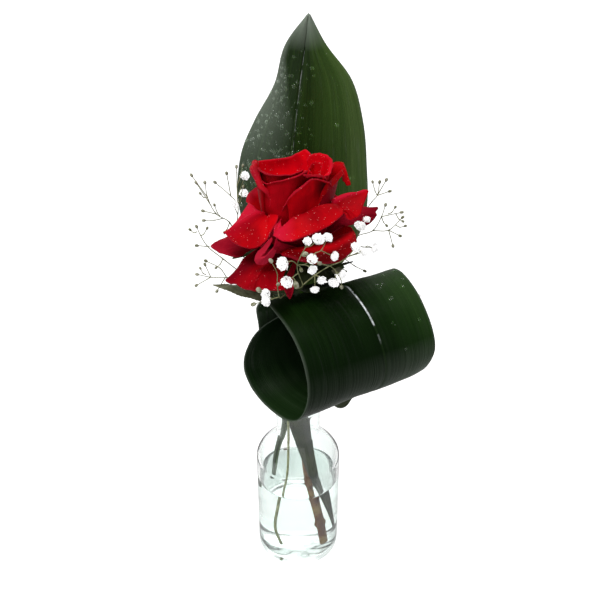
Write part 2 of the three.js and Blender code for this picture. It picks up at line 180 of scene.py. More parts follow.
def makeRoom():
    half = studio["roomHalf"]
    room = bmesh.new()
    bmesh.ops.create_cube(room, size=2 * half)
    bmesh.ops.translate(room, verts=room.verts, vec=(0, 0, half))
    rounding = half * studio["corner"]
    bmesh.ops.bevel(room, geom=room.edges[:], offset=rounding, segments=10, affect="EDGES", profile=0.5)
    bmesh.ops.reverse_faces(room, faces=room.faces)
    mesh = bpy.data.meshes.new("room")
    room.to_mesh(mesh)
    room.free()
    mesh.materials.append(paperMaterial())
    for face in mesh.polygons:
        face.use_smooth = True
    backdrop = bpy.data.objects.new("backdrop", mesh)
    bpy.context.collection.objects.link(backdrop)


makeLamps()
makeRoom()
print("stage made")


# ---- shared effects
floats = "NodeSocketFloat"


def effectGroup(name, inputs, outputs):
    tree = bpy.data.node_groups.new(name, "ShaderNodeTree")
    for label, kind, value in inputs:
        socket = tree.interface.new_socket(name=label, in_out="INPUT", socket_type=kind)
        if value is not None:
            socket.default_value = value
    for label in outputs:
        tree.interface.new_socket(name=label, in_out="OUTPUT", socket_type=floats)
    add = nodeTool(tree)
    return tree, add, add("NodeGroupInput").outputs, add("NodeGroupOutput").inputs


def mottleGroup():  # slow and fine changes of tone over a surface
    tree, add, given, out = effectGroup(
        "mottle",
        [("Vector", "NodeSocketVector", None), ("Scale", floats, 60), ("Low", floats, 0.35),
         ("High", floats, 0.65)],
        ["Mask", "Fine"],
    )
    finer = 14
    slow = add("ShaderNodeTexNoise", {"Vector": given["Vector"], "Scale": given["Scale"], "Detail": 3})
    mask = fit(add, slow.outputs[0], given["Low"], given["High"])
    fineScale = times(add, given["Scale"], finer)
    fine = add("ShaderNodeTexNoise", {"Vector": given["Vector"], "Scale": fineScale, "Detail": 2})
    tree.links.new(mask, out["Mask"])
    tree.links.new(fine.outputs[0], out["Fine"])
    return tree


def streakGroup():  # long fine streaks that follow a sheet's own map, such as veins
    tree, add, given, out = effectGroup(
        "streaks",
        [("Across", floats, 90), ("Along", floats, 2), ("Fan", floats, 0), ("Low", floats, 0.4),
         ("High", floats, 0.6)],
        ["Mask", "Height", "Across", "Along"],
    )
    strip = add("ShaderNodeUVMap", uv_map="strip")
    parts = add("ShaderNodeSeparateXYZ", {0: strip.outputs[0]}).outputs
    centred = reckon(add, "SUBTRACT", parts[0], 0.5)
    fanned = reckon(add, "ADD", times(add, parts[1], given["Fan"]), 1)
    side = reckon(add, "DIVIDE", centred, fanned)
    x = times(add, side, given["Across"])
    y = times(add, parts[1], given["Along"])
    place = add("ShaderNodeCombineXYZ", {0: x, 1: y}).outputs[0]
    grain = add("ShaderNodeTexNoise", {"Vector": place, "Scale": 1, "Detail": 3, "Roughness": 0.6}).outputs[0]
    mask = fit(add, grain, given["Low"], given["High"])
    for label, value in (("Mask", mask), ("Height", grain), ("Across", centred), ("Along", parts[1])):
        tree.links.new(value, out[label])
    return tree


effects = {"mottle": mottleGroup(), "streaks": streakGroup()}


# ---- material helpers
def newMaterial(name):
    made = bpy.data.materials.new(name)
    made.use_nodes = True
    tree = made.node_tree
    return made, nodeTool(tree), tree.nodes["Principled BSDF"], tree.links.new


def useEffect(add, name, **values):
    group = add("ShaderNodeGroup", node_tree=effects[name])
    for label, value in values.items():
        plug(group.id_data, group.inputs[label], value)
    return group.outputs


def mottle(add, scale):
    place = add("ShaderNodeTexCoord").outputs["Object"]
    return useEffect(add, "mottle", Vector=place, Scale=scale)


def tones(add, mask, *stops):  # a colour ramp with (position, colour) stops
    ramp = add("ShaderNodeValToRGB", {0: mask})
    line = ramp.color_ramp.elements
    while len(line) < len(stops):
        line.new(0.5)
    for element, (place, colour) in zip(line, stops):
        element.position = place
        element.color = (*colour, 1)
    return ramp.outputs[0]


def blendTones(add, factor, first, second):
    node = add("ShaderNodeMix", {0: factor}, data_type="RGBA", blend_type="MIX")
    for index, colour in ((6, first), (7, second)):
        plug(node.id_data, node.inputs[index], (*colour, 1) if isinstance(colour, tuple) else colour)
    return node.outputs[2]


def bumpInto(add, shader, height, strength, distance):
    bump = add("ShaderNodeBump", {"Strength": strength, "Distance": distance, "Height": height})
    shader.id_data.links.new(bump.outputs[0], shader.inputs["Normal"])


# ---- petal finishes
petalLook = {
    "face": [(0.0, (0.34, 0.0, 0.004)), (0.5, (0.56, 0.0005, 0.006)), (1.0, (0.76, 0.0015, 0.006))],
    "back": [(0.0, (0.24, 0.001, 0.01)), (0.5, (0.36, 0.003, 0.018)), (1.0, (0.48, 0.01, 0.03))],
    # painted shade: a darker copy of the face tones, for walls turned from the light
    "wall": [(0.0, (0.24, 0.0, 0.003)), (0.5, (0.40, 0.0005, 0.006)), (1.0, (0.55, 0.001, 0.01))],
    "pink": [(0.0, (0.36, 0.006, 0.02)), (0.5, (0.48, 0.012, 0.035)), (1.0, (0.6, 0.02, 0.055))],
    # painted shade: the near-black red laid where a lip or fold overhangs
    "paintedShadeRed": (0.012, 0.0, 0.0006),
    # painted shade and painted sheen, laid on one side of a petal
    "shaded": (0.2, 0.0, 0.008),
    "paintedSheen": (0.8, 0.012, 0.05),
    "edge": (0.50, 0.014, 0.04),  # painted sheen: the rolled margins are paler and pinker
    "veins": {"Across": 46, "Along": 1.6, "Fan": 1.4, "Low": 0.3, "High": 0.75},
    "veinShare": 0.16,  # how much of the tone follows the veins, the rest is patches
    "patches": 55,
    "ragged": 0.08,
    "margin": (0.83, 0.95),  # where along the petal the painted sheen of the paler edge starts and is full
    "lumps": 0.3,
    "bump": (0.3, 0.0006),
    "shine": {"Specular IOR Level": 0.04, "Sheen Roughness": 0.3, "Sheen Tint": (1, 0.2, 0.25, 1)},
}


def paintedUnderShade(add, veins, body, middle, width, starts, full, fades, ends, share):  # painted shade: deep red in one place, where a lip or fold overhangs
    scaled = reckon(add, "DIVIDE", reckon(add, "SUBTRACT", veins["Across"], middle), width)
    beside = fit(add, times(add, scaled, scaled), 0, 1, share, 0)
    below = fit(add, veins["Along"], starts, full)
    above = fit(add, veins["Along"], fades, ends, 1, 0)
    return blendTones(add, times(add, beside, times(add, below, above)), body, petalLook["paintedShadeRed"])


def petalMaterial(name, look, edge, roughness, sheen, glow=0.0, under=None, paintedSideLight=None):
    made, add, shader, link = newMaterial(name)
    veins = useEffect(add, "streaks", **petalLook["veins"])
    patch = mottle(add, petalLook["patches"])
    share = petalLook["veinShare"]
    tone = reckon(add, "MULTIPLY_ADD", patch["Mask"], 1 - share, times(add, veins["Mask"], share))
    body = tones(add, tone, *petalLook[look])
    if paintedSideLight:  # painted light on one side: from and to across the petal, how much, and the colour there, painted sheen or painted shade
        start, full, most, tint = paintedSideLight
        body = blendTones(add, fit(add, veins["Across"], start, full, 0, most), body, petalLook[tint])
    # painted shade below an overhanging lip
    if under:
        body = paintedUnderShade(add, veins, body, *under)
    ragged = reckon(add, "MULTIPLY_ADD", patch["Fine"], petalLook["ragged"], veins["Along"])
    # painted sheen along the rolled margin
    margin = fit(add, ragged, *petalLook["margin"], 0, edge)
    colour = blendTones(add, margin, body, petalLook["edge"])
    link(colour, shader.inputs["Base Color"])
    # painted light: the petal glows with its own colour, though it is no lamp
    if glow:
        link(colour, shader.inputs["Emission Color"])
    setInputs(shader, {"Emission Strength": glow, "Roughness": roughness, "Sheen Weight": sheen})
    setInputs(shader, petalLook["shine"])
    lumps = reckon(add, "MULTIPLY_ADD", patch["Fine"], petalLook["lumps"], veins["Height"])
    bumpInto(add, shader, lumps, *petalLook["bump"])
    return made


# ---- broad leaf finishes
leafLook = {
    "upright": [(0.0, (0.012, 0.03, 0.005)), (0.5, (0.055, 0.115, 0.02)), (1.0, (0.17, 0.27, 0.08))],
    "rolled": [(0.0, (0.003, 0.012, 0.0016)), (0.5, (0.009, 0.029, 0.0045)), (1.0, (0.026, 0.062, 0.015))],
    "mouth": [(0.0, (0.003, 0.012, 0.002)), (0.5, (0.013, 0.035, 0.009)), (1.0, (0.06, 0.10, 0.05))],
    "back": [(0.0, (0.03, 0.065, 0.02)), (1.0, (0.11, 0.18, 0.065))],
    "midrib": (0.02, 0.045, 0.012),
    # painted glare: the pale grey of light reflected off the leaf
    "glareGrey": (0.30, 0.36, 0.29),
    "glint": (0.75, 0.80, 0.82),
    "glow": 0.45,  # how bright the painted glint glows of its own
    "veins": {"Across": 150, "Along": 1.2, "Low": 0.3, "High": 0.7},
    "bands": {"Across": 13, "Along": 1.4, "Low": 0.34, "High": 0.68},
    "wetLines": {"Across": 70, "Along": 7, "Low": 0.56, "High": 0.68},
    "breaks": {"Across": 8, "Along": 46, "Low": 0.42, "High": 0.54},
    "veinShare": 0.22,
    "bandShare": 0.3,
    "lighter": (0.0, 0.45, -0.25, 0.42),  # from and to across the leaf, and the tone there
    "ridgeShare": 0.8,
    "rim": (0.48, 0.498, 0.0, 0.24),  # the painted highlight on the pale edge: from and to beside the midrib, and its strength
    "rib": (0.01, 0.004),  # the same for the dark midrib
    "glintWidth": (0.009, 0.004),
    "gloss": (0.8, 1.4),  # least and most roughness, as shares
    "patches": 22,
    "bump": (0.5, 0.0005),
}
nowhere = (2, 3, 0)  # a place past the leaf's end


def leafGreen(add, veins, bands, look, lit):  # bands and veins, lighter to the right, and painted light and shade along the leaf
    tone = times(add, veins["Mask"], leafLook["veinShare"])
    both = reckon(add, "MULTIPLY_ADD", bands["Mask"], leafLook["bandShare"], tone)
    sides = reckon(add, "ADD", both, fit(add, veins["Across"], *leafLook["lighter"]))
    return tones(add, reckon(add, "ADD", sides, fit(add, veins["Along"], *lit)), *leafLook[look])


def paintedGlare(add, veins, middle, haze, paintedReflection):  # painted glare on the left side, a painted highlight at the tip, painted reflection in streaks low down, and painted highlights on the rims
    upper = fit(add, veins["Along"], 0.58, 0.76, haze * 0.3, haze * 2.1)
    inner = fit(add, veins["Along"], 0.74, 0.88, 0.0, -0.36)
    side = fit(add, veins["Across"], inner, -0.5, 0.0, upper)
    tip = fit(add, veins["Along"], 0.9, 1.0, 0.0, haze * 3.6)
    rim = fit(add, middle, *leafLook["rim"])
    starts, full, most = paintedReflection
    # painted reflection of the pale floor, in streaks where the leaf turns under
    low = fit(add, veins["Along"], starts, full, 0.0, most)
    lines = times(add, fit(add, veins["Across"], -0.3, 0.4, 0.5, 1.4), veins["Mask"])
    reflectedLines = reckon(add, "MAXIMUM", times(add, low, lines), rim)
    return reckon(add, "MAXIMUM", reckon(add, "MAXIMUM", side, tip), reflectedLines)


def leafGlint(add, veins, middle, glint):  # painted highlight: a broken glint along the midrib, and how bright it ends
    starts, stops, after = glint
    broken = useEffect(add, "streaks", **leafLook["breaks"])
    line = fit(add, middle, *leafLook["glintWidth"])
    begins = fit(add, veins["Along"], starts - 0.02, starts + 0.01)
    ends = fit(add, veins["Along"], stops - 0.03, stops + 0.02, 1.0, after)
    return times(add, times(add, line, broken["Mask"]), times(add, begins, ends))


def broadLeafMaterial(name, look, roughness, haze, shine, glint, paintedReflection=nowhere, lit=(0, 1, 0, 0)):
    made, add, shader, link = newMaterial(name)
    veins = useEffect(add, "streaks", **leafLook["veins"])
    bands = useEffect(add, "streaks", **leafLook["bands"])
    wetLines = useEffect(add, "streaks", **leafLook["wetLines"])
    patch = mottle(add, leafLook["patches"])
    middle = reckon(add, "ABSOLUTE", veins["Across"])
    green = leafGreen(add, veins, bands, look, lit)
    glared = blendTones(add, paintedGlare(add, veins, middle, haze, paintedReflection), green, leafLook["glareGrey"])
    rib = fit(add, middle, *leafLook["rib"], 0.0, min(2 * shine, 1))
    ribbed = blendTones(add, rib, glared, leafLook["midrib"])
    shining = leafGlint(add, veins, middle, glint)
    # the painted highlight, in the colour and in a glow of its own
    link(blendTones(add, shining, ribbed, leafLook["glint"]), shader.inputs["Base Color"])
    link(blendTones(add, shining, (0, 0, 0), leafLook["glint"]), shader.inputs["Emission Color"])
    glossy, dull = leafLook["gloss"]
    link(fit(add, patch["Mask"], 0, 1, roughness * glossy, roughness * dull), shader.inputs["Roughness"])
    link(times(add, wetLines["Mask"], shine), shader.inputs["Coat Weight"])
    values = {"Emission Strength": leafLook["glow"], "Coat Roughness": 0.1, "Specular IOR Level": 0.2 * shine}
    setInputs(shader, values)
    ridge = reckon(add, "MULTIPLY_ADD", bands["Height"], leafLook["ridgeShare"], veins["Height"])
    bumpInto(add, shader, ridge, *leafLook["bump"])
    return made


# ---- other finishes
def letLightThrough(made, add, shader, link, tint):  # lamps shine through clear pieces
    rays = add("ShaderNodeLightPath").outputs
    clear = add("ShaderNodeBsdfTransparent", {"Color": (*tint, 1)}).outputs[0]
    both = add("ShaderNodeMixShader", {0: rays["Is Shadow Ray"], 1: shader.outputs[0], 2: clear})
    link(both.outputs[0], made.node_tree.nodes["Material Output"].inputs["Surface"])


def clearMaterial(name, low, high, index, scale, wavy=0.0):
    made, add, shader, link = newMaterial(name)
    patch = mottle(add, scale)
    link(tones(add, patch["Mask"], (0, low), (1, high)), shader.inputs["Base Color"])
    setInputs(shader, {"Roughness": 0, "IOR": index, "Transmission Weight": 1})
    if wavy:
        bumpInto(add, shader, patch["Mask"], wavy, 0.0004)
    dimming = 0.96
    letLightThrough(made, add, shader, link, tuple(dimming * part for part in high))
    return made


def plantMaterial(name, dark, light, roughness, scale, bumpDistance=0.0004, glow=0.0):
    made, add, shader, link = newMaterial(name)
    patch = mottle(add, scale)
    link(tones(add, patch["Mask"], (0.1, dark), (0.9, light)), shader.inputs["Base Color"])
    setInputs(shader, {"Roughness": roughness, "Specular IOR Level": 0.12})
    # glow is painted light: the part glows though it is no lamp
    setInputs(shader, {"Emission Color": (*light, 1), "Emission Strength": glow})
    bumpInto(add, shader, patch["Fine"], 0.5, bumpDistance)
    return made


barkLook = {
    "woody": [(0, (0.11, 0.03, 0.014)), (0.5, (0.22, 0.11, 0.04)), (1, (0.32, 0.21, 0.075))],
    "fresh": [(0, (0.03, 0.06, 0.018)), (1, (0.08, 0.11, 0.035))],
    "greenFrom": (0.11, 0.2),  # the height in metres where the wood turns green
}


def barkMaterial():
    made, add, shader, link = newMaterial("roseBark")
    patch = mottle(add, 120)
    place = add("ShaderNodeTexCoord").outputs["Object"]
    height = add("ShaderNodeSeparateXYZ", {0: place}).outputs[2]
    woody = tones(add, patch["Mask"], *barkLook["woody"])
    fresh = tones(add, patch["Mask"], *barkLook["fresh"])
    link(blendTones(add, fit(add, height, *barkLook["greenFrom"]), woody, fresh), shader.inputs["Base Color"])
    setInputs(shader, {"Roughness": 0.65, "Specular IOR Level": 0.1})
    bumpInto(add, shader, patch["Fine"], 0.8, 0.0006)
    return made


petalFinishes = {  # look, edge (painted sheen on the margin), roughness, sheen and glow (painted light), then painted shade below a lip, or one side tinted with painted sheen or painted shade
    "petalFace": [("face", 0.5, 0.55, 0.06)],
    "petalBack": [("back", 0.4, 0.6, 0.12)],
    "petalShadedWall": [("wall", 0.5, 0.6, 0.04)],
    "petalFold": [("face", 0.15, 0.6, 0.04, 0.15)],
    "petalGlow": [("face", 0.4, 0.6, 0.04, 0.4)],
    "petalFlankShade": [("face", 0.5, 0.6, 0.04, 0.18), {"under": (-0.25, 0.19, 0.5, 0.68, 0.76, 0.8, 0.96)}],
    "petalUnderShade": [("face", 0.4, 0.55, 0.06), {"under": (0.12, 0.45, 0.56, 0.66, 2, 3, 0.85)}],
    "petalPaintedSheen": [("face", 0.5, 0.55, 0.06), {"paintedSideLight": (0.06, 0.24, 0.85, "paintedSheen")}],
    "petalFarPaintedSheen": [("face", 0.5, 0.55, 0.06), {"paintedSideLight": (0.0, -0.25, 0.8, "paintedSheen")}],
    "petalPink": [("pink", 0.4, 0.6, 0.12, 0.1)],
    "petalShaded": [("wall", 0.5, 0.6, 0.04), {"paintedSideLight": (-0.03, 0.1, 0.75, "shaded")}],
}
finishes = {
    # the leaves' glare amount, glint and streak values paint light: painted glare, painted highlights and
    # painted reflection; lit paints light and shade along each leaf
    "leafFace": broadLeafMaterial("broadLeafFace", "upright", 0.3, 0.3, 0.5, (0.55, 0.68, 0.2)),
    "rolledFace": broadLeafMaterial(
        "rolledLeafFace", "mouth", 0.3, 0.0, 0.3, nowhere, lit=(0.84, 0.93, 0.5, -0.3)
    ),
    "rolledOuter": broadLeafMaterial(
        "rolledLeafOuter", "rolled", 0.3, 0.0, 0.2, (0.585, 0.66, 0), (0.69, 0.77, 0.65),
        lit=(0.57, 0.7, 0.5, -0.08)
    ),
    "leafBack": broadLeafMaterial("broadLeafBack", "back", 0.45, 0.05, 0.1, (0.5, 0.6, 0.0)),
    "glass": clearMaterial("bottleGlass", (0.94, 0.98, 0.968), (0.97, 0.992, 0.985), 1.42, 30, 0.06),
    "water": clearMaterial("water", (0.91, 0.948, 0.933), (0.95, 0.975, 0.963), 1.33, 40),
    "droplet": clearMaterial("droplet", (0.97, 0.98, 0.98), (1, 1, 1), 1.33, 400),
    # the rose's droplets are opaque: their red-to-pale-pink colour is a painted highlight
    "dew": plantMaterial("dew", (0.85, 0.05, 0.05), (0.95, 0.42, 0.42), 0.2, 700, 0.0001),
    "bark": barkMaterial(),
    "sepal": plantMaterial("sepalGreen", (0.02, 0.045, 0.012), (0.07, 0.11, 0.03), 0.55, 200),
    "roseLeaf": plantMaterial("roseLeafGreen", (0.15, 0.16, 0.09), (0.30, 0.31, 0.2), 0.5, 160),
    # painted shade: a near-black copy of the rose-leaf green, for leaflets in the flower's shade
    "shadedRoseLeaf": plantMaterial("shadedRoseLeafGreen", (0.003, 0.007, 0.002), (0.024, 0.036, 0.009), 0.5, 120),
    "leafFoot": plantMaterial("foldedLeafFoot", (0.010, 0.017, 0.006), (0.045, 0.055, 0.024), 0.5, 60),
    "leafStalk": plantMaterial("leafStalkGreen", (0.012, 0.03, 0.008), (0.04, 0.075, 0.02), 0.4, 90),
    "twig": plantMaterial("twigGreen", (0.18, 0.2, 0.085), (0.4, 0.41, 0.22), 0.6, 260),
    # the white flowers glow: painted light that fills the shade between their petals
    "flower": plantMaterial("whiteFlower", (0.84, 0.84, 0.84), (0.96, 0.96, 0.96), 0.6, 300, 0.0002, 0.32),
    "bud": plantMaterial("paleBud", (0.24, 0.25, 0.13), (0.62, 0.62, 0.48), 0.6, 400),
}
for name, (main, *special) in petalFinishes.items():
    finishes[name] = petalMaterial(name, *main, **(special[0] if special else {}))
print("finishes made")


# ---- mesh helpers
def addPiece(name, mesh, slot, *nodes):
    piece = bpy.data.objects.new(name, mesh)
    bpy.context.collection.objects.link(piece)
    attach(piece, "root")
    if nodes:
        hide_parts(*nodes)
    return piece


def smoothFaces(mesh):
    for face in mesh.polygons:
        face.use_smooth = True
    return mesh


def finishMesh(bm, name):
    bmesh.ops.recalc_face_normals(bm, faces=bm.faces)
    mesh = bpy.data.meshes.new(name)
    bm.to_mesh(mesh)
    bm.free()
    return smoothFaces(mesh)


def sheetMesh(name, at, columns, rows, wetAt=None):  # one layer, with its own map from 0 to 1 both ways
    vertices = []
    marks = []
    wet = []
    for row in range(rows + 1):
        for column in range(columns + 1):
            u = 2 * column / columns - 1
            v = row / rows
            vertices.append(Vector(at(u, v)) * mm)
            marks.append(((u + 1) / 2, v))
            wet.append(wetAt(u, v) if wetAt else 0)
    faces = []
    for row in range(rows):
        for column in range(columns):
            first = row * (columns + 1) + column
            faces.append((first, first + 1, first + columns + 2, first + columns + 1))
    mesh = bpy.data.meshes.new(name)
    mesh.from_pydata(vertices, [], faces)
    strip = mesh.uv_layers.new(name="strip")
    for loop in mesh.loops:
        strip.data[loop.index].uv = marks[loop.vertex_index]
    damp = mesh.attributes.new("wet", "FLOAT", "POINT")
    damp.data.foreach_set("value", wet)
    return smoothFaces(mesh)


def thicken(piece, thickness, back):  # the back gets the second material
    piece.data.materials.append(back)
    solid = piece.modifiers.new("thickness", "SOLIDIFY")
    solid.thickness = thickness * mm
    solid.offset = 0
    solid.use_even_offset = False
    solid.material_offset = 1
    solid.material_offset_rim = 0
    return piece


def curvePoint(points, t):  # a smooth line through the points, at t from 0 to 1
    spans = len(points) - 1
    place = min(max(t, 0), 1) * spans
    index = min(int(place), spans - 1)
    part = place - index
    b, c = points[index], points[index + 1]
    a = points[index - 1] if index > 0 else b * 2 - c
    d = points[index + 2] if index + 2 <= spans else c * 2 - b
    gaps = [max((q - p).length, 1e-6) ** 0.5 for p, q in ((a, b), (b, c), (c, d))]
    leave = ((b - a) / gaps[0] - (c - a) / (gaps[0] + gaps[1]) + (c - b) / gaps[1]) * gaps[1]
    arrive = ((c - b) / gaps[1] - (d - b) / (gaps[1] + gaps[2]) + (d - c) / gaps[2]) * gaps[1]
    return (b + leave * part + (c * 3 - b * 3 - leave * 2 - arrive) * part**2
            + (b * 2 - c * 2 + leave + arrive) * part**3)


def straightPoint(points, t):
    place = min(max(t, 0), 1) * (len(points) - 1)
    low = min(int(place), len(points) - 2)
    return points[low].lerp(points[low + 1], place - low)


def vectors(points):
    return [Vector(p) for p in points]


def softPoint(points, t, soft):  # less soft, the line is straighter
    return straightPoint(points, t).lerp(curvePoint(points, t), soft)


def evenLine(points, samples=600, soft=1.0):  # the same line, spaced evenly by its length
    dense = [softPoint(points, k / samples, soft) for k in range(samples + 1)]
    gone = [0]
    for a, b in zip(dense, dense[1:]):
        gone.append(gone[-1] + (b - a).length)
    spaced = []
    index = 0
    for k in range(samples + 1):
        target = gone[-1] * k / samples
        while index < samples - 1 and gone[index + 1] < target:
            index += 1
        part = (target - gone[index]) / max(gone[index + 1] - gone[index], 1e-9)
        spaced.append(dense[index].lerp(dense[index + 1], part))

    def at(t):
        place = min(max(t, 0), 1) * samples
        low = min(int(place), samples - 1)
        return spaced[low].lerp(spaced[low + 1], place - low)

    return at


def tubeRings(bm, points, radiusAt, sides, rings):
    line = vectors(points)
    steps = (len(line) - 1) * rings
    across = Vector((1, 0.3, 0))
    loops = []
    for step in range(steps + 1):
        t = step / steps
        centre = curvePoint(line, t)
        ahead = (curvePoint(line, t + 0.01) - curvePoint(line, t - 0.01)).normalized()
        across = (across - ahead * across.dot(ahead)).normalized()
        other = ahead.cross(across)
        loop = []
        for side in range(sides):
            angle = 2 * math.pi * side / sides
            out = across * math.cos(angle) + other * math.sin(angle)
            loop.append(bm.verts.new((centre + out * radiusAt(t)) * mm))
        loops.append(loop)
    for low, high in zip(loops, loops[1:]):
        for side in range(sides):
            after = (side + 1) % sides
            bm.faces.new((low[side], low[after], high[after], high[side]))
    bm.faces.new(list(reversed(loops[0])))
    bm.faces.new(loops[-1])


def latheMesh(name, outline, segments):  # outline of (radius, height) from axis to axis, or closed on itself
    bm = bmesh.new()
    rings = []
    for radius, height in outline:
        if radius < 1e-6:
            rings.append([bm.verts.new((0, 0, height * mm))])
            continue
        ring = []
        for segment in range(segments):
            angle = 2 * math.pi * segment / segments
            spot = Vector((radius * math.cos(angle), radius * math.sin(angle), height))
            ring.append(bm.verts.new(spot * mm))
        rings.append(ring)
    for low, high in zip(rings, rings[1:]):
        for segment in range(segments):
            after = (segment + 1) % segments
            corners = [low[segment % len(low)], low[after % len(low)]]
            corners += [high[after % len(high)], high[segment % len(high)]]
            unique = [corner for i, corner in enumerate(corners) if corner not in corners[:i]]
            bm.faces.new(unique)
    return finishMesh(bm, name)


# ---- bottle and water
bottle = {
    "radius": 31, "height": 150, "neckRadius": 16, "wall": 1.6, "heel": 7, "base": 7, "innerHeel": 5.5,
    "pushUp": 2.4, "uneven": 0.6, "shoulderLow": 94, "shoulderHigh": 120, "domeRise": 1.6, "segments": 128,
    "lip": 1.4, "lipHeight": 8, "lipRound": 1.5, "mouthRound": 1.2,
}
water = {"level": 75, "overlap": 0.12, "meniscus": 1.1}


def arc(centreX, centreY, radius, start, end, steps):
    angles = [math.radians(mix(start, end, step / steps)) for step in range(steps + 1)]
    return [(centreX + radius * math.cos(a), centreY + radius * math.sin(a)) for a in angles]


def shoulderLine(inset, steps=24):
    line = []
    for step in range(steps + 1):
        t = step / steps
        radius = mix(bottle["radius"], bottle["neckRadius"], ease(t, 0, 1)) - inset
        line.append((radius, mix(bottle["shoulderLow"], bottle["shoulderHigh"], t)))
    return line


def uneven(mesh):  # the cast foot of the bottle isn't perfectly flat
    for vertex in mesh.vertices:
        x, y, z = vertex.co / mm
        low = (1 - ease(z, 8, 16)) * (1 - ease(math.hypot(x, y), 14, 23))
        vertex.co.z += bottle["uneven"] * low * noise.noise(Vector((x * 0.13, y * 0.13, 2))) * mm
    return mesh


def innerFloor(inset):
    inner = bottle["radius"] - bottle["wall"]
    heel = bottle["innerHeel"]
    flat = inner - heel - 6
    rise = bottle["domeRise"]
    dome = [(flat * k / 8, bottle["base"] + rise * (1 - ease(k / 8, 0, 1)) - inset) for k in range(9)]
    return dome + arc(inner - heel, bottle["base"] + heel, heel + inset, -90, 0, 10)


def makeBottle():
    lip = bottle["neckRadius"] + bottle["lip"]
    bend, turned = bottle["lipRound"], bottle["mouthRound"]
    outer = bottle["radius"] - bottle["heel"]
    mouth = bottle["neckRadius"] - bottle["wall"]
    pushUp = bottle["pushUp"]
    outline = (
        [(outer * k / 8, pushUp * (1 - ease(k / 8, 0, 1))) for k in range(9)]
        + arc(outer, bottle["heel"], bottle["heel"], -85, 0, 14)
        + shoulderLine(0)
        + [(bottle["neckRadius"], bottle["height"] - bottle["lipHeight"])]
        + arc(lip - bend, bottle["height"] - 5.5, bend, -60, 0, 4)
        + arc(lip - bend, bottle["height"] - bend, bend, 0, 90, 6)
        + arc(mouth + turned, bottle["height"] - turned, turned, 90, 180, 4)
        + shoulderLine(bottle["wall"])[::-1]
        + innerFloor(0)[::-1]
    )
    glass = latheMesh("bottleGlass", outline, bottle["segments"])
    uneven(glass).materials.append(finishes["glass"])
    addPiece("bottleGlass", glass, "glass", "bottle")
    level = water["level"]
    inner = bottle["radius"] - bottle["wall"] + water["overlap"]
    rim = [
        (inner, level - 2), (inner, level + water["meniscus"] - 0.15), (inner, level + water["meniscus"]),
        (inner - 0.5, level + water["meniscus"] * 0.45), (inner - 1.3, level + 0.1),
        (inner - 2.4, level), (inner - 3.4, level), (0, level),
    ]
    body = latheMesh("waterBody", innerFloor(water["overlap"]) + rim, bottle["segments"])
    uneven(body).materials.append(finishes["water"])
    addPiece("waterBody", body, "water", "water")


makeBottle()
print("bottle made")

# ---- rose stem and hip
flower = {"place": (-4, -26, 302), "tiltBack": 4}
flowerFrame = Matrix.Translation(flower["place"]) @ Matrix.Rotation(-math.radians(flower["tiltBack"]), 4, "X")
roseStem = {
    "path": [
        (14.5, -5, 9.5), (12, -4.5, 32), (8, -3, 62), (4, 1, 100), (1.5, 3.5, 140),
        (-1, 1, 190), (-4, -6, 236), (-5, -15, 268), (-4, -25, 286),
    ],
    "radius": (2.45, 2.3),
    "nodes": [0.125, 0.25, 0.5, 0.75],  # where it swells
    "swelling": 0.9, "swellingReach": 0.014, "rough": 0.12,
    "prickles": [(0.55, 20), (0.62, 190), (0.7, 60), (0.8, 170)],  # how far along, and the way they point
    "prickleLength": 7, "prickleRadius": (1.9, 0.12),
    "hip": [(0, -22), (2.2, -22), (2.9, -20), (3.8, -17.5), (6.2, -13.6), (8.6, -10.6), (10.1, -8.4),
            (10.4, -7.2), (9.6, -6.2), (5, -1.8), (0, 2.6)],
}


def makeRoseStem():
    path = roseStem["path"]
    bm = bmesh.new()

    def radiusAt(t):
        near = [math.exp(-(((t - node) / roseStem["swellingReach"]) ** 2)) for node in roseStem["nodes"]]
        rough = roseStem["rough"] * noise.noise(Vector((t * 60, 3, 0)))
        return mix(*roseStem["radius"], t) + sum(roseStem["swelling"] * part for part in near) + rough

    tubeRings(bm, path, radiusAt, 20, 24)
    line = vectors(path)
    for t, turn in roseStem["prickles"]:
        foot = curvePoint(line, t)
        out = Vector((math.cos(math.radians(turn)), math.sin(math.radians(turn)), 0))
        tip = foot + out * roseStem["prickleLength"] + Vector((0, 0, -1.5))
        middle = foot.lerp(tip, 0.5) + Vector((0, 0, 0.5))
        tubeRings(bm, [foot, middle, tip], lambda t: mix(*roseStem["prickleRadius"], t**0.8), 12, 6)
    mesh = finishMesh(bm, "roseStem")
    hip = latheMesh("hip", roseStem["hip"], 32)
    bm = bmesh.new()
    bm.from_mesh(mesh)
    hip.transform(Matrix.Scale(mm, 4) @ flowerFrame @ Matrix.Scale(1 / mm, 4))
    bm.from_mesh(hip)
    bm.to_mesh(mesh)
    bm.free()
    mesh.materials.append(finishes["bark"])
    addPiece("roseStem", smoothFaces(mesh), "bark", "rose_stem")


makeRoseStem()

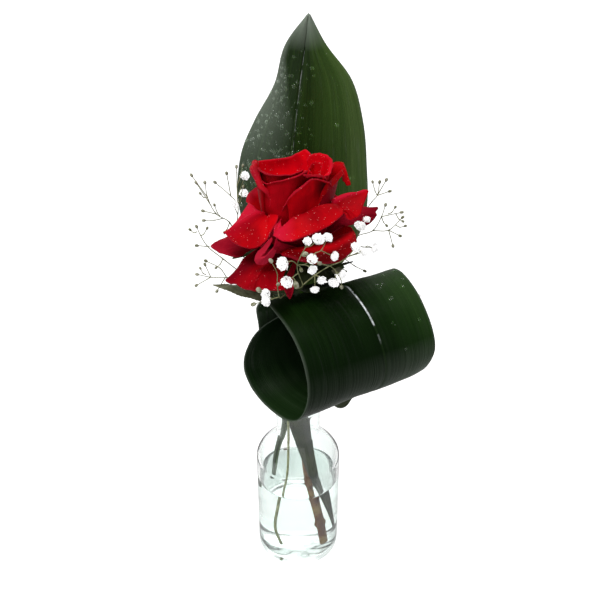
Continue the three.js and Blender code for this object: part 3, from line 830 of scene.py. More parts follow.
# ---- petals seen from the front, each drawn by its rim. Rims run clockwise from above: faces point inwards.
rimShape = {
    "span": 50,  # half of the arc on the hip that the petal grows from, in degrees
    "reach": 6, "drop": -2,  # that arc's distance from the axis and its height
    "leave": (11, 7), "arrive": (3, -15),  # how it leaves the hip and meets the rim, out and up
    "spread": 0.35, "soft": 0.5, "lip": 0.9, "curl": 170, "inset": 1, "ends": 0.08,
    "ruffle": 0.5, "ridges": [], "thickness": 0.35, "columns": 56, "strandRows": 26, "lipRows": 8, "wet": 1,
    "face": "petalFace", "back": "petalBack",
}
rimPetals = {
    "12": {
        "rim": [
            (-26, -16, 347), (-26.5, -12, 346.5), (-21.5, -6, 344.5), (-15.5, -2, 343), (-9.5, 0, 342.5),
            (-4.5, 1, 343), (-0.5, 1, 345.5), (4.5, -1, 349.5), (7, -4, 349), (9.5, -8, 347.5),
        ],
        "lip": 0.7, "curl": 120, "reach": 5, "face": "petalGlow",
        "back": "petalShadedWall",
    },
    "13": {
        "rim": [
            (-16, -31, 320.5), (-16.5, -33, 325), (-17.5, -35.5, 332), (-19, -37.5, 339.5),
            (-20, -38, 344.5), (-21, -36.5, 347.5), (-22, -33, 349),
            (-23, -26, 349), (-23.5, -17, 347), (-23, -9, 344.5),
        ],
        "lip": 2.2, "curl": 200, "inset": 0, "ends": 0.03,
        "back": "petalShadedWall",
    },
    "14": {
        "rim": [
            (20, -20, 331), (19.5, -24, 337), (18, -28, 342), (15, -32, 345.5), (11, -36, 349),
            (7.5, -40, 351), (4, -43.5, 350.5),
            (1, -45, 348.5), (-2, -45.5, 346), (-4.5, -45.5, 342.5), (-6.5, -44, 337), (-8, -41.5, 331.5),
            (-9.5, -39, 327),
        ],
        "lip": 1.1, "curl": 150, "leave": (15, 7), "arrive": (1, -15), "reach": 7,
        "back": "petalFlankShade",
    },
    "15": {
        "rim": [
            (16.5, -26, 342.5), (15.5, -29, 347), (12.5, -32.5, 350), (9.5, -35.5, 351.5),
            (6.5, -37.5, 352.5),
            (4, -38.5, 354), (1.5, -40, 354.5),
        ],
        "lip": 1.0, "curl": 170, "arrive": (-5, -13), "reach": 4,
        "back": "petalShadedWall",
    },
    "16": {
        "rim": [
            (6, -33, 353), (3, -38, 354.5), (0, -42, 354.5), (-4, -43.5, 353.5), (-9.5, -43, 351.5),
            (-14, -41, 349.5), (-17, -38.5, 347), (-20, -34.5, 346.5), (-22.5, -29.5, 347.5),
            (-24, -24, 348.5),
        ],
        "lip": 0.6, "curl": 160, "leave": (13, 7), "arrive": (3, -16), "reach": 6, "span": 65,
        "back": "petalShadedWall",
    },
    "17": {
        "rim": [
            (5, -9, 346.5), (8, -8, 349), (12.5, -9, 350.5), (16.5, -12, 351), (18.5, -16.5, 351),
            (18.5, -22, 349.5), (17, -26.5, 348), (15, -30, 347),
        ],
        "lip": 0.8, "curl": 180, "reach": 5, "face": "petalGlow",
        "back": "petalShadedWall",
    },
    "18": {
        "rim": [
            (3.5, -30, 352), (0.5, -33, 352), (-2, -35, 352), (-5, -36.5, 352), (-8, -37.5, 352.5),
            (-11, -38, 352.5), (-14.5, -37.5, 352.5),
            (-17.5, -36, 352.5), (-19.5, -33, 352), (-21.5, -29, 351), (-22.5, -24, 350),
        ],
        "lip": 0.8, "curl": 140, "leave": (12, 7), "arrive": (2, -15), "reach": 5, "span": 60, "ends": 0.03,
        "back": "petalShadedWall",
    },
    "20": {
        "rim": [
            (8.5, -27, 347), (7, -22, 347.5), (8, -17, 347.5), (10, -14, 347.5), (12.5, -15, 348),
            (14.5, -19, 348), (13.5, -24, 347.5),
        ],
        "turn": 20, "leave": (5, 16), "arrive": (0, -10), "lip": 0.5, "curl": 120, "reach": 3, "spread": 0.15,
        "columns": 40, "face": "petalFold", "back": "petalFold",
    },
    "11": {
        "rim": [
            (19.5, -2, 340.5), (23.5, -1, 341), (28, -3, 341.5), (29.5, -6, 339.5), (31, -9, 335),
            (32.5, -11.5, 331), (30, -12.5, 331),
            (28.5, -12, 334), (28, -13, 339), (25, -18, 338.5), (22, -22.5, 337), (19, -27, 336.5),
            (17.5, -30.5, 336.5), (15, -34.5, 335),
            (12.5, -36.5, 330),
        ],
        "crest": [
            (19, -5, 341), (23, -6, 342), (26, -7.5, 342.5), (27.5, -8.5, 341.5), (27.5, -9, 341),
            (28, -9.5, 341), (27.5, -10, 341),
            (27, -11, 341.5), (26.5, -12.5, 342), (24, -17.5, 342), (21.5, -22, 342), (19, -26.5, 342),
            (16.5, -30.5, 341.5), (14, -34, 338),
            (12, -36, 331),
        ],
        "leave": (15, 14), "lip": 0.6, "curl": 150, "reach": 7, "ruffle": 0.3,
    },
    "07": {
        "rim": [
            (-10.5, -41, 328), (-11, -45, 327), (-12, -49, 325), (-14.5, -52.5, 322), (-17, -55, 318.5),
            (-22, -58, 315.5), (-27.5, -60, 315.5),
            (-32.5, -60.5, 317.5), (-37.5, -59, 319.5), (-42.5, -55, 322.5), (-42.5, -55, 322.5),
            (-40, -49, 322.5), (-36.5, -42, 323), (-33, -34, 324.5),
            (-29.5, -24, 325.5),
        ],
        "crest": [
            (-11.5, -38.5, 326.5), (-12.5, -38.5, 326.5), (-13.5, -38.5, 326), (-14.5, -38.5, 325.5),
            (-15.5, -39, 325.5), (-16.5, -39, 325.5), (-17, -39, 325),
            (-18, -39, 325), (-19, -38.5, 325), (-20, -37.5, 325.5), (-21.5, -36.5, 326), (-23, -35, 326.5),
            (-25, -32.5, 326.5), (-26.5, -29.5, 326.5),
            (-28.5, -26.5, 326),
        ],
        "leave": (13, 12), "lip": 0.6, "curl": 120, "reach": 8, "drop": -4, "ruffle": 0.5,
        "face": "petalPaintedSheen", "ridges": [(0.66, 0.06, 2.5), (0.3, 0.25, 2.0)],
    },
    "04": {
        "rim": [
            (-32.5, -49, 303), (-36.5, -50, 304), (-42, -49, 304.5), (-47, -46, 304.5), (-52.5, -41, 306.5),
            (-48.5, -36, 306.5), (-44, -32, 306.5), (-38, -28, 307.5),
        ],
        "leave": (12, 6), "arrive": (-13, 3), "lip": 0.8, "curl": 90, "reach": 9, "drop": -5, "wet": 0.4,
        "face": "petalBack",
    },
    "09": {
        "rim": [
            (21.5, -34, 331.5), (26.5, -41, 332), (27, -46, 332), (23.5, -51, 331), (19.5, -56, 330),
            (14, -60, 329), (8.5, -63, 328.5),
            (1.5, -63.5, 326), (-3.5, -63.5, 323.5), (-9, -62, 322.5), (-14, -57, 323), (-14, -57, 323),
            (-12, -53, 325.5), (-9.5, -48, 328.5),
        ],
        "crest": [
            (20, -33, 330.5), (22, -36, 332), (20.5, -38.5, 333), (16.5, -41, 334.5), (13, -43.5, 335),
            (9, -46.5, 335), (4.5, -50, 334),
            (0, -51, 333), (-3.5, -52, 331.5), (-6.5, -53, 328.5), (-9, -52.5, 325.5), (-9.5, -51.5, 326),
            (-10, -48.5, 327), (-9.5, -46, 327.5),
        ],
        "face": "petalPaintedSheen", "leave": (14, 12), "lip": 0.7, "curl": 150,
        "reach": 8, "drop": -4, "ruffle": 0.6,
    },
    "02": {
        "rim": [
            (27, -27, 312.5), (31, -33, 314.5), (33.5, -40, 314), (35, -50, 313.5), (32, -58, 314),
            (28, -63, 312.5), (23, -68, 312), (16.5, -70, 312), (9.5, -70, 312.5), (3, -69, 314),
            (-2.5, -67, 314.5), (-8, -63, 313), (-12, -57, 313),
        ],
        "crest": [
            (28.5, -31, 314), (32.5, -38, 315), (32.5, -44, 316), (28.5, -50, 316), (23, -54, 316),
            (16.5, -57, 316.5), (9.5, -58, 316.5), (2.5, -58, 315.5), (-3, -57.5, 314.5), (-8, -56, 313),
            (-12, -54, 311),
        ],
        "face": "petalUnderShade", "leave": (14, 8), "lip": 1.1, "curl": 120,
        "reach": 9, "drop": -5, "ruffle": 0.8,
    },
    "08": {
        "rim": [
            (23, -27.5, 331.5), (30, -27.5, 334.5), (35.5, -28, 335.5), (39.5, -29.5, 337),
            (42, -31, 337.5), (42, -31, 337.5), (40.5, -34, 334.5),
            (38.5, -38, 331.5), (37.5, -41, 328.5), (35, -43, 326.5), (31.5, -44.5, 325.5),
            (28.5, -44, 326.5),
        ],
        "crest": [
            (21, -28, 330.5), (22, -29, 331), (22.5, -30, 330.5), (23, -31, 330.5), (23.5, -32, 330.5),
            (24, -33, 330.5), (24.5, -34.5, 330),
            (25, -36, 330), (25.5, -37.5, 330), (26.5, -39, 330), (27, -40.5, 329.5), (27.5, -42, 329),
        ],
        "leave": (14, 14), "lip": 0.6, "curl": 130, "reach": 8, "drop": -4, "ruffle": 0.5,
        "face": "petalFarPaintedSheen", "ridges": [(0.87, 0.05, 2.2), (0.45, 0.2, 1.2)],
    },
    "03": {
        "rim": [
            (40, -8, 313.5), (45, -8, 313.5), (50.5, -9, 314), (48.5, -12, 312), (49.5, -14, 311),
            (47, -15, 307.5), (43, -17, 305.5), (39.5, -17, 308.5),
        ],
        "leave": (12, 5), "arrive": (-12, 4), "lip": 0.9, "curl": 120, "reach": 9, "drop": -5, "wet": 0.3,
        "face": "petalBack",
    },
    "01": {
        "rim": [
            (-6, -70, 293.5), (-10.5, -74, 297), (-16, -76, 298), (-20.5, -77, 299), (-22.5, -78, 298.5),
            (-25, -78, 297.5), (-29, -76, 298.5), (-32.5, -74, 298.5), (-36.5, -71, 299),
            (-39.5, -70, 298.5),
            (-42.5, -67, 298.5), (-39, -62, 299.5), (-36.5, -57, 300.5), (-34, -53, 302), (-32, -50, 303.5),
            (-28.5, -48, 303.5),
        ],
        "leave": (14, 4), "arrive": (-12, 7), "lip": 0.9, "curl": 130, "reach": 9.5, "drop": -5,
        "ridges": [(0.34, 0.05, 3.0)], "ruffle": 0.9, "face": "petalShaded",
    },
    "01under": {
        "rim": [
            (-2.5, -57, 289), (-3, -59, 285), (-4.5, -61, 280.5), (-4.5, -61, 281), (-6.5, -61, 285),
            (-8, -59, 289.5),
        ],
        "leave": (13, 3), "arrive": (-8, 6), "lip": 0.5, "reach": 9.5, "drop": -5, "span": 20, "wet": 0,
        "face": "petalBack", "columns": 24,
    },
    "02rolled": {
        "rim": [
            (-11.5, -57, 321.5), (-11, -59, 318.5), (-12, -61.5, 316), (-13.5, -64, 313),
            (-16.5, -66, 310.5), (-20, -67.5, 309), (-23.5, -67.5, 309.5),
            (-25, -66, 311), (-25, -64.5, 313.5), (-23, -62.5, 316), (-20, -60.5, 317.5),
            (-17.5, -58.5, 320), (-15, -56.5, 321.5),
        ],
        "crest": [
            (-12.5, -61, 322.5), (-13, -62.5, 321.5), (-13.5, -64, 320), (-15, -65.5, 318.5),
            (-16.5, -67, 317.5), (-18, -68.5, 316.5), (-19.5, -69, 315.5),
            (-21, -68.5, 315.5), (-20.5, -68, 316.5), (-19, -67, 317.5), (-17.5, -65.5, 319),
            (-16, -63.5, 320), (-14.5, -60.5, 321.5),
        ],
        "leave": (13, 6), "lip": 0.8, "curl": 150, "reach": 9, "drop": -5, "wet": 0.1, "ruffle": 0.3,
        "face": "petalPink",
    },
}
flowerAxis = flowerFrame.to_3x3() @ up


def stepLine(points, soft):
    line = vectors(points)
    return lambda t: softPoint(line, t, soft)


def rimPetal(index, shape):
    s = {**rimShape, **shape}
    rim = evenLine(vectors(s["rim"]), 240, s["soft"])
    crest = None
    if "crest" in s:
        crest = evenLine(vectors(s["crest"]), 240, s["soft"])
        if len(s["crest"]) == len(s["rim"]):  # then each crest point leads to its own rim point
            rim, crest = stepLine(s["rim"], s["soft"]), stepLine(s["crest"], s["soft"])
    middle = sum(vectors(s["rim"]), Vector()) / len(s["rim"])
    inFlower = flowerFrame.inverted()
    towards = inFlower @ middle
    turn = math.radians(s["turn"]) if "turn" in s else math.atan2(towards.y, towards.x)
    share = s["strandRows"] / (s["strandRows"] + s["lipRows"])
    known = {}

    def strand(t):  # the line from the hip to the rim at t along the rim, and the rim's own directions
        angle = turn + math.radians(s["span"]) * (1 - 2 * t)
        outward = flowerFrame.to_3x3() @ Vector((math.cos(angle), math.sin(angle), 0))
        foot = flowerFrame @ Vector((0, 0, s["drop"])) + outward * s["reach"]
        leave = foot + outward * s["leave"][0] + flowerAxis * s["leave"][1]
        end = rim(t)
        local = inFlower @ end
        beside = flowerFrame.to_3x3() @ Vector((local.x, local.y, 0)).normalized()
        if crest:
            line = [foot, leave, crest(t), end]
            ahead = (curvePoint(line, 1) - curvePoint(line, 0.97)).normalized()
        else:
            by = beside * s["arrive"][0] + flowerAxis * s["arrive"][1]
            line = [foot, leave, end + (middle - end) * s["spread"] + by, end]
            ahead = (end - line[2]).normalized()
        side = (rim(min(t + 0.01, 1)) - rim(max(t - 0.01, 0))).normalized()
        face = side.cross(ahead).normalized()
        square = face.cross(side).normalized()
        end = end - square * s["lip"] * s["inset"]
        line[3] = end
        return line, square, face

    def onStrand(line, v):
        if crest:
            return curvePoint(line, v)
        a, b, c, d = line
        w = 1 - v
        return a * w**3 + b * (3 * w * w * v) + c * (3 * w * v * v) + d * v**3

    def at(u, v):
        t = (u + 1) / 2
        if t not in known:
            known[t] = strand(t)
        line, square, face = known[t]
        part = min(v / share, 1)
        swell = sum(height * math.exp(-(((t - place) / width) ** 2)) for place, width, height in s["ridges"])
        swell *= ease(part, 0.2, 0.75)
        slow = noise.noise(Vector((t * 5, part * 2.2, index * 7.3)))
        swell += s["ruffle"] * 1.6 * slow * ease(part, 0.3, 1)
        quick = noise.noise(Vector((t * 13, part * 5, index * 3.1)))
        swell += s["ruffle"] * 0.8 * quick * ease(part, 0.6, 1)
        spot = onStrand(line, part) + face * swell
        if v > share:
            taper = ease(t, 0, s["ends"]) * ease(1 - t, 0, s["ends"])
            bend = math.radians(s["curl"]) * mix(0.25, 1, taper) * (v - share) / (1 - share)
            bend *= 1 + 0.25 * noise.noise(Vector((t * 7, 4, index)))
            size = s["lip"] * mix(0.5, 1, taper) * (1 + 0.5 * noise.noise(Vector((t * 4, 9, index * 2.7))))
            spot += square * size * math.sin(bend) - face * size * (1 - math.cos(bend))
        return spot

    def wetAt(u, v):
        return s["wet"] * ease(v, 0.4, 0.6)

    return at, s, wetAt


# ---- petals that others hide. A layer leans from the flower's axis by its angles, at reaches from its foot.
reaches = [0, 10, 22, 36, 52]
leans = [
    (0, [8, 0, -2, -8, -20]),
    (0.3, [26, 10, 2, 2, 12]),
    (0.5, [38, 18, 4, 14, 38]),
    (0.8, [52, 22, 8, 66, 122]),
    (0.93, [72, 56, 58, 90, 122]),
    (1, [82, 75, 80, 108, 135]),
    (1.2, [96, 104, 122, 138, 150]),
]


def layerLean(layer, distance):
    atDistance = [(at, along(list(zip(reaches, angles)), distance)) for at, angles in leans]
    return math.radians(along(atDistance, layer))


def layerLine(layer, length, stride=0.5):  # radius, height and lean at each stride from the foot
    radius = 2 + 7.5 * layer
    height = 2 - 7 * layer
    line = [(radius, height, layerLean(layer, 0))]
    for step in range(int(length / stride) + 2):
        lean = layerLean(layer, (step + 0.5) * stride)
        radius += math.sin(lean) * stride
        height += math.cos(lean) * stride
        line.append((radius, height, lean))
    return line


def rollPast(x, y, n, hinge, out, radius, most):  # what lies past a line in the flat petal rolls to its back
    past = (x - hinge[0]) * out[0] + (y - hinge[1]) * out[1]
    if past <= 0:
        return x, y, n
    turn = min(past / radius, math.radians(most))
    spare = past - turn * radius
    reach = radius * math.sin(turn) + spare * math.cos(turn)
    drop = radius * (1 - math.cos(turn)) + spare * math.sin(turn)
    return x + (reach - past) * out[0], y + (reach - past) * out[1], n - drop


petalShape = {"point": 0.2, "claw": 0.25, "tip": 60, "apex": 1.0, "roll": 3.0, "most": 120, "ruffle": 0.8,
              "thickness": 0.35, "columns": 34, "rows": 34}


def petalSurface(index, shape):
    s = {**petalShape, **shape}
    length, half = s["length"], s["width"] / 2
    stride = 0.5
    line = layerLine(s["layer"], length + 6, stride)
    tip = math.radians(s["tip"])

    def at(u, v):
        reach = length * (1 - s["point"] * abs(u) ** 1.8)
        x = -u * half * mix(s["claw"], 1, ease(v, 0.05, 0.8))
        y = v * reach
        n = s["ruffle"] * noise.noise(Vector((u * 1.7, v * 2.2, index * 7.3))) * ease(v, 0.25, 1) * 2
        n += s["ruffle"] * 0.5 * noise.noise(Vector((u * 4.5, v * 4, index * 3.1))) * ease(v, 0.6, 1) * 2
        hinge = (0, length * s["apex"])
        for side in (-1, 1):
            out = (side * math.cos(tip), math.sin(tip))
            x, y, n = rollPast(x, y, n, hinge, out, s["roll"], s["most"])
        place = min(max(y / stride, 0), len(line) - 2)
        low = int(place)
        radius, height, lean = (mix(a, b, place - low) for a, b in zip(line[low], line[low + 1]))
        turn = math.radians(s["azimuth"]) + min(max(x / radius, -1.92), 1.92)
        out = radius - math.cos(lean) * n
        return flowerFrame @ Vector((out * math.cos(turn), out * math.sin(turn), height + math.sin(lean) * n))

    return at, s


layerPetals = {
    "05": {"layer": 0.9, "azimuth": 62, "length": 43, "width": 44},
    "06": {"layer": 0.87, "azimuth": 122, "length": 40, "width": 34},
    "10": {"layer": 0.76, "azimuth": 102, "length": 44, "width": 34},
}
goldenTurn = 137.5
for i in (1, 3, 4, 5, 6, 7):
    layerPetals[f"{18 + i}"] = {
        "layer": 0.31 - i * 0.04, "azimuth": 140 + i * goldenTurn,
        "length": 40 - i * 1.4, "width": 32 - i * 2.2,
        "tip": 72, "roll": 1.4, "most": 90, "ruffle": 0.4, "columns": 28, "rows": 24,
    }


def makePetals():
    for index, (number, shape) in enumerate(rimPetals.items()):
        at, s, wetAt = rimPetal(index, shape)
        mesh = sheetMesh(f"petal{number}", at, s["columns"], s["strandRows"] + s["lipRows"], wetAt)
        wetSheets["rose"].append((mesh, s["thickness"]))
        dress(mesh, f"petal{number}", s, f"petal_{number[:2]}")
    for index, (number, shape) in enumerate(layerPetals.items()):
        at, s = petalSurface(index, shape)
        mesh = sheetMesh(f"petal{number}", at, s["columns"], s["rows"])
        dress(mesh, f"petal{number}", {"face": "petalFace", "back": "petalBack", **s}, f"petal_{number}")


def dress(mesh, name, s, node):
    mesh.materials.append(finishes[s["face"]])
    piece = addPiece(name, mesh, "petal", node)
    thicken(piece, s["thickness"], finishes[s["back"]])


wetSheets = {"rose": [], "leaves": []}  # what droplets lie on, with its thickness
makePetals()


sepalShape = {
    "layer": 1.15, "length": 27, "width": 10, "point": 0.8, "claw": 0.7, "tip": 80, "ruffle": 0.6,
    "apex": 1.2, "thickness": 0.4, "columns": 12, "rows": 24,
}


def makeSepals():
    for index in range(5):
        at, s = petalSurface(40 + index, {**sepalShape, "azimuth": -100 + index * 72})
        mesh = sheetMesh(f"sepal{index + 1}", at, s["columns"], s["rows"])
        mesh.materials.append(finishes["sepal"])
        piece = addPiece(f"sepal{index + 1}", mesh, "sepal", f"sepal_{index + 1}")
        thicken(piece, s["thickness"], finishes["sepal"])


makeSepals()
print("rose made")


# ---- rose leaflets
leaflets = {
    "left": {"line": [(-8.2, -15, 252), (-28, -28, 264), (-53, -32, 271)], "half": 8.5},
    "right": {"line": [(-1, -15, 262), (14, -22, 277), (31, -30, 280)], "half": 9},
    "back": {"line": [(-8, -10, 258), (-20, -8, 274), (-33, -10, 285)], "half": 8},
    # the low leaflets are shaded rose leaves: their near-black green is painted shade
    "lowRight": {"line": [(-4, -10, 254), (13, -38, 286), (33, -48, 299)], "half": 8, "finish": "shadedRoseLeaf"},
    "lowMiddle": {"line": [(-4, -10, 254), (9, -42, 291), (24.5, -55, 288)], "half": 9, "finish": "shadedRoseLeaf"},
    "lowFront": {"line": [(-4, -10, 254), (0.5, -45, 293), (-1, -60, 282)], "half": 9, "finish": "shadedRoseLeaf"},
    "lowFar": {
        "line": [(-4, -10, 254), (12.6, -44, 279.1), (28, -42, 278.5)], "half": 7, "finish": "shadedRoseLeaf",
    },
    "lowSide": {"line": [(-4, -10, 256), (-20, -36, 289), (-33, -45, 299)], "half": 5, "finish": "shadedRoseLeaf"},
}


leafletShape = {"stalkHalf": 0.7, "teeth": 22, "toothSize": 0.5, "thickness": 0.4, "columns": 16, "rows": 88}


def makeLeaflets():
    for side, leaflet in leaflets.items():
        line = vectors(leaflet["line"])
        across = (line[-1] - line[0]).cross(up).normalized()

        def at(u, v):
            half = mix(leafletShape["stalkHalf"], leaflet["half"], ease(v, 0.12, 0.45))
            half *= math.sqrt(max(0.004, 1 - ease(v, 0.45, 1)))
            tooth = 1 - abs((v * leafletShape["teeth"]) % 1 * 2 - 1)
            toothed = ease(abs(u), 0.8, 1) * ease(v, 0.2, 0.3) * ease(1 - v, 0, 0.15)
            teeth = leafletShape["toothSize"] * tooth * toothed
            sag = -0.25 * half * u * u + 0.35 * math.sin(v * 26 + abs(u) * 5) * ease(v, 0.2, 0.4) * abs(u)
            return curvePoint(line, v) + across * u * (half + teeth) + up * sag

        mesh = sheetMesh(f"roseLeaf_{side}", at, leafletShape["columns"], leafletShape["rows"])
        finish = finishes[leaflet.get("finish", "roseLeaf")]
        mesh.materials.append(finish)
        nodes = [] if "finish" in leaflet else [f"rose_leaf_{side}"]
        piece = addPiece(f"roseLeaf_{side}", mesh, "rose_leaf", *nodes)
        thicken(piece, leafletShape["thickness"], finish)


makeLeaflets()

# ---- upright leaf
uprightLeaf = {
    "midrib": [
        (-20, 4, 60), (-16, 4.5, 92), (-8.6, 4.5, 124), (-7.5, 8, 165), (-7, 22, 215), (-7, 28, 252),
        (-6, 28, 290), (-4.5, 28, 322), (-2, 28, 350), (1.5, 28, 380), (4.5, 27.5, 403), (6.6, 27, 424.5),
    ],
    "left": [
        (-34, 46, 250), (-41, 53, 284), (-38, 52.5, 318), (-28, 49, 345), (-14.5, 42, 374), (-7.6, 34, 402),
        (6, 27.1, 424),
    ],
    "right": [
        (34, 38, 246), (46, 37, 282), (45, 35, 322), (41.5, 33, 352), (33.5, 31, 381), (17, 28, 405),
        (7.2, 27, 424),
    ],
    "petioleHalf": 2.2,
    "blade": (0.36, 0.5),  # where along it the stalk widens to the blade
    "wave": 0.7, "groove": 0.7, "grooveWidth": 0.035, "channel": 1.4,
    "swell": [12, 11],  # half widths where the blade starts
    "arch": [1.4, 2.2],  # how far each side bulges forward
    "thickness": 0.6,
    "columns": 64, "rows": 200,
}


def makeUprightLeaf():
    middle = vectors(uprightLeaf["midrib"])
    edges = []
    for sign, wide, margin in ((-1, uprightLeaf["swell"][0], "left"), (1, uprightLeaf["swell"][1], "right")):
        half = uprightLeaf["petioleHalf"]
        shifts = [half * 0.5, half * 0.5, half * 0.7, half * 1.2, wide]
        foot = [middle[i] + Vector((sign * shift, 0, 0)) for i, shift in enumerate(shifts)]
        edges.append(foot + vectors(uprightLeaf[margin]))

    def at(u, v):
        centre = curvePoint(middle, v)
        edge = curvePoint(edges[0] if u < 0 else edges[1], v)
        spot = centre.lerp(edge, abs(u))
        blade = ease(v, *uprightLeaf["blade"])
        wave = uprightLeaf["wave"] * noise.noise(Vector((u * 1.5, v * 9, 5))) * abs(u) ** 1.5
        arch = uprightLeaf["arch"][u > 0] * (1 - (2 * abs(u) - 1) ** 2) * blade
        groove = -uprightLeaf["groove"] * math.exp(-((u / uprightLeaf["grooveWidth"]) ** 2)) * blade
        channel = (1 - blade) * uprightLeaf["channel"] * u * u
        return spot + Vector((0, -(arch + wave * 2 * blade + groove + channel), 0))

    def wetAt(u, v):
        onLeft = ease(v, 0.46, 0.58) * ease(-u, -0.35, 0.15) * (1 - ease(v, 0.82, 0.95))
        return onLeft + 0.03 * ease(v, 0.5, 0.6)

    mesh = sheetMesh("uprightLeaf", at, uprightLeaf["columns"], uprightLeaf["rows"], wetAt)
    mesh.materials.append(finishes["leafFace"])
    piece = addPiece("uprightLeaf", mesh, "broad_leaf", "upright_leaf")
    thicken(piece, uprightLeaf["thickness"], finishes["leafBack"])
    wetSheets["leaves"].append((mesh, uprightLeaf["thickness"]))


makeUprightLeaf()

# ---- rolled leaf
roll = {
    "centre": (30, -46, 236), "turned": 22, "lifted": 3, "taper": 0.07, "foldedFoot": 38, "footTop": 150,
    "thickness": 0.6, "columns": 72, "rows": 420,
    "foot": [(23, -6, 24), (16, -8, 62), (7, -7.5, 105), (2.5, -6.5, 135), (4, -7, 160)],
    "wrap": [  # turn about the axis, distance from it and shift along it
        (-55, 45, -8), (-25, 40, -3), (0, 37, 0), (30, 36.5, -2), (60, 36.5, -4), (90, 37, -5),
        (120, 36.5, -3),
        (150, 36, -1), (180, 36, 0), (210, 35.5, -3), (240, 33.5, -8), (270, 31, -14), (300, 29.5, -19),
        (330, 30, -22), (360, 30.5, -19), (385, 29, -13), (410, 27.5, -8),
    ],
    "left": [  # how far along, and how wide
        (0, 1), (0.1, 4), (0.2, 8.5), (0.3, 10.5), (0.34, 12), (0.37, 22), (0.4, 33), (0.43, 40),
        (0.46, 44.5), (0.49, 47), (0.51, 43.5), (0.54, 42.5), (0.57, 41), (0.6, 40.5), (0.63, 39),
        (0.66, 38), (0.69, 40), (0.72, 41.5), (0.75, 43), (0.79, 42), (0.83, 41), (0.86, 41.5), (0.89, 42),
        (0.915, 40), (0.94, 32), (0.97, 19), (1, 8),
    ],
    "right": [
        (0, 1), (0.1, 4), (0.2, 8.5), (0.27, 10.5), (0.285, 30), (0.3, 42), (0.33, 45), (0.4, 45), (0.48, 47),
        (0.54, 49), (0.6, 49), (0.68, 46), (0.76, 44), (0.88, 40), (1, 12),
    ],
    "unfold": (0.24, 0.3), "wrapped": (0.36, 0.5),  # where along it the foot opens, and the roll is full
    "ripple": 1.1, "groove": 0.7, "grooveWidth": 0.03,
    "slide": 12,  # the midrib wanders off the middle of the turn in front
    "slideFrom": (0.5, 0.58), "slideTo": (0.74, 0.86),
    "sags": [(0.3, 0.032, 27), (0.745, 0.06, -5)],  # place, reach and depth where the right margin hangs
}


def smoothAlong(pairs, x, spread=0.02):
    return sum(along(pairs, x + offset * spread) for offset in (-2, -1, 0, 1, 2)) / 5


def makeRolledLeaf():
    turned, lifted = math.radians(roll["turned"]), math.radians(roll["lifted"])
    back = Vector((-math.sin(turned), math.cos(turned), 0))
    axis = Vector((back.y, -back.x, math.tan(lifted))).normalized()
    rise = axis.cross(back)
    centre = Vector(roll["centre"])
    stops = []
    for turn, radius, shift in roll["wrap"]:
        angle = math.radians(turn)
        onAxis = centre + axis * shift
        stops.append(onAxis + back * math.cos(angle) * radius + rise * math.sin(angle) * radius)
    line = evenLine(vectors(roll["foot"]) + stops)

    def at(u, v):
        spot = line(v)
        slide = roll["slide"] * ease(v, *roll["slideFrom"]) * (1 - ease(v, *roll["slideTo"]))
        wide = smoothAlong(roll["left"] if u < 0 else roll["right"], v)
        reach = slide + u * (wide + slide if u < 0 else wide - slide)
        fold = math.radians(mix(roll["foldedFoot"], 0, ease(v, *roll["unfold"])))
        away = spot - centre
        away = (away - axis * away.dot(axis)).normalized()
        wrapped = ease(v, *roll["wrapped"])
        ripple = roll["ripple"] * noise.noise(Vector((u * 2.2, v * 16, 9))) * wrapped * (0.3 + abs(u))
        groove = -roll["groove"] * math.exp(-((u / roll["grooveWidth"]) ** 2)) * wrapped
        spot = spot + axis * reach * math.cos(fold) + back * abs(reach) * math.sin(fold)
        sag = sum(depth * math.exp(-(((v - place) / width) ** 2)) for place, width, depth in roll["sags"])
        sag *= max(u, 0) ** 1.5
        return spot + away * (ripple + groove - min(reach, 0) * roll["taper"] * wrapped) - up * sag

    def wetAt(u, v):
        return 0.6 * ease(u, 0.1, 0.5) * ease(v, 0.5, 0.56) * (1 - ease(v, 0.64, 0.72))

    mesh = sheetMesh("rolledLeaf", at, roll["columns"], roll["rows"], wetAt)
    mesh.materials.append(finishes["rolledFace"])
    piece = addPiece("rolledLeaf", mesh, "broad_leaf", "rolled_leaf")
    thicken(piece, roll["thickness"], finishes["rolledOuter"])
    mesh.materials.append(finishes["leafFoot"])
    for face in mesh.polygons:
        if face.center.z < roll["footTop"] * mm:
            face.material_index = 2
    wetSheets["leaves"].append((mesh, roll["thickness"]))


makeRolledLeaf()
print("broad leaves made")


# ---- stalk and midrib of the upright leaf
def makeStalk():
    bm = bmesh.new()
    middle = vectors(uprightLeaf["midrib"])
    line = [p + Vector((0, 0.6, 0)) for p in middle[:5]] + [p + Vector((0, 0.9, 0)) for p in middle[5:11]]
    radii = [(0, 1.9), (0.3, 2.3), (0.45, 1.6), (0.7, 0.9), (1, 0.35)]
    tubeRings(bm, line, lambda t: along(radii, t), 14, 10)
    mesh = finishMesh(bm, "uprightStalk")
    mesh.materials.append(finishes["leafStalk"])
    addPiece("uprightStalk", mesh, "broad_leaf", "upright_leaf")


makeStalk()

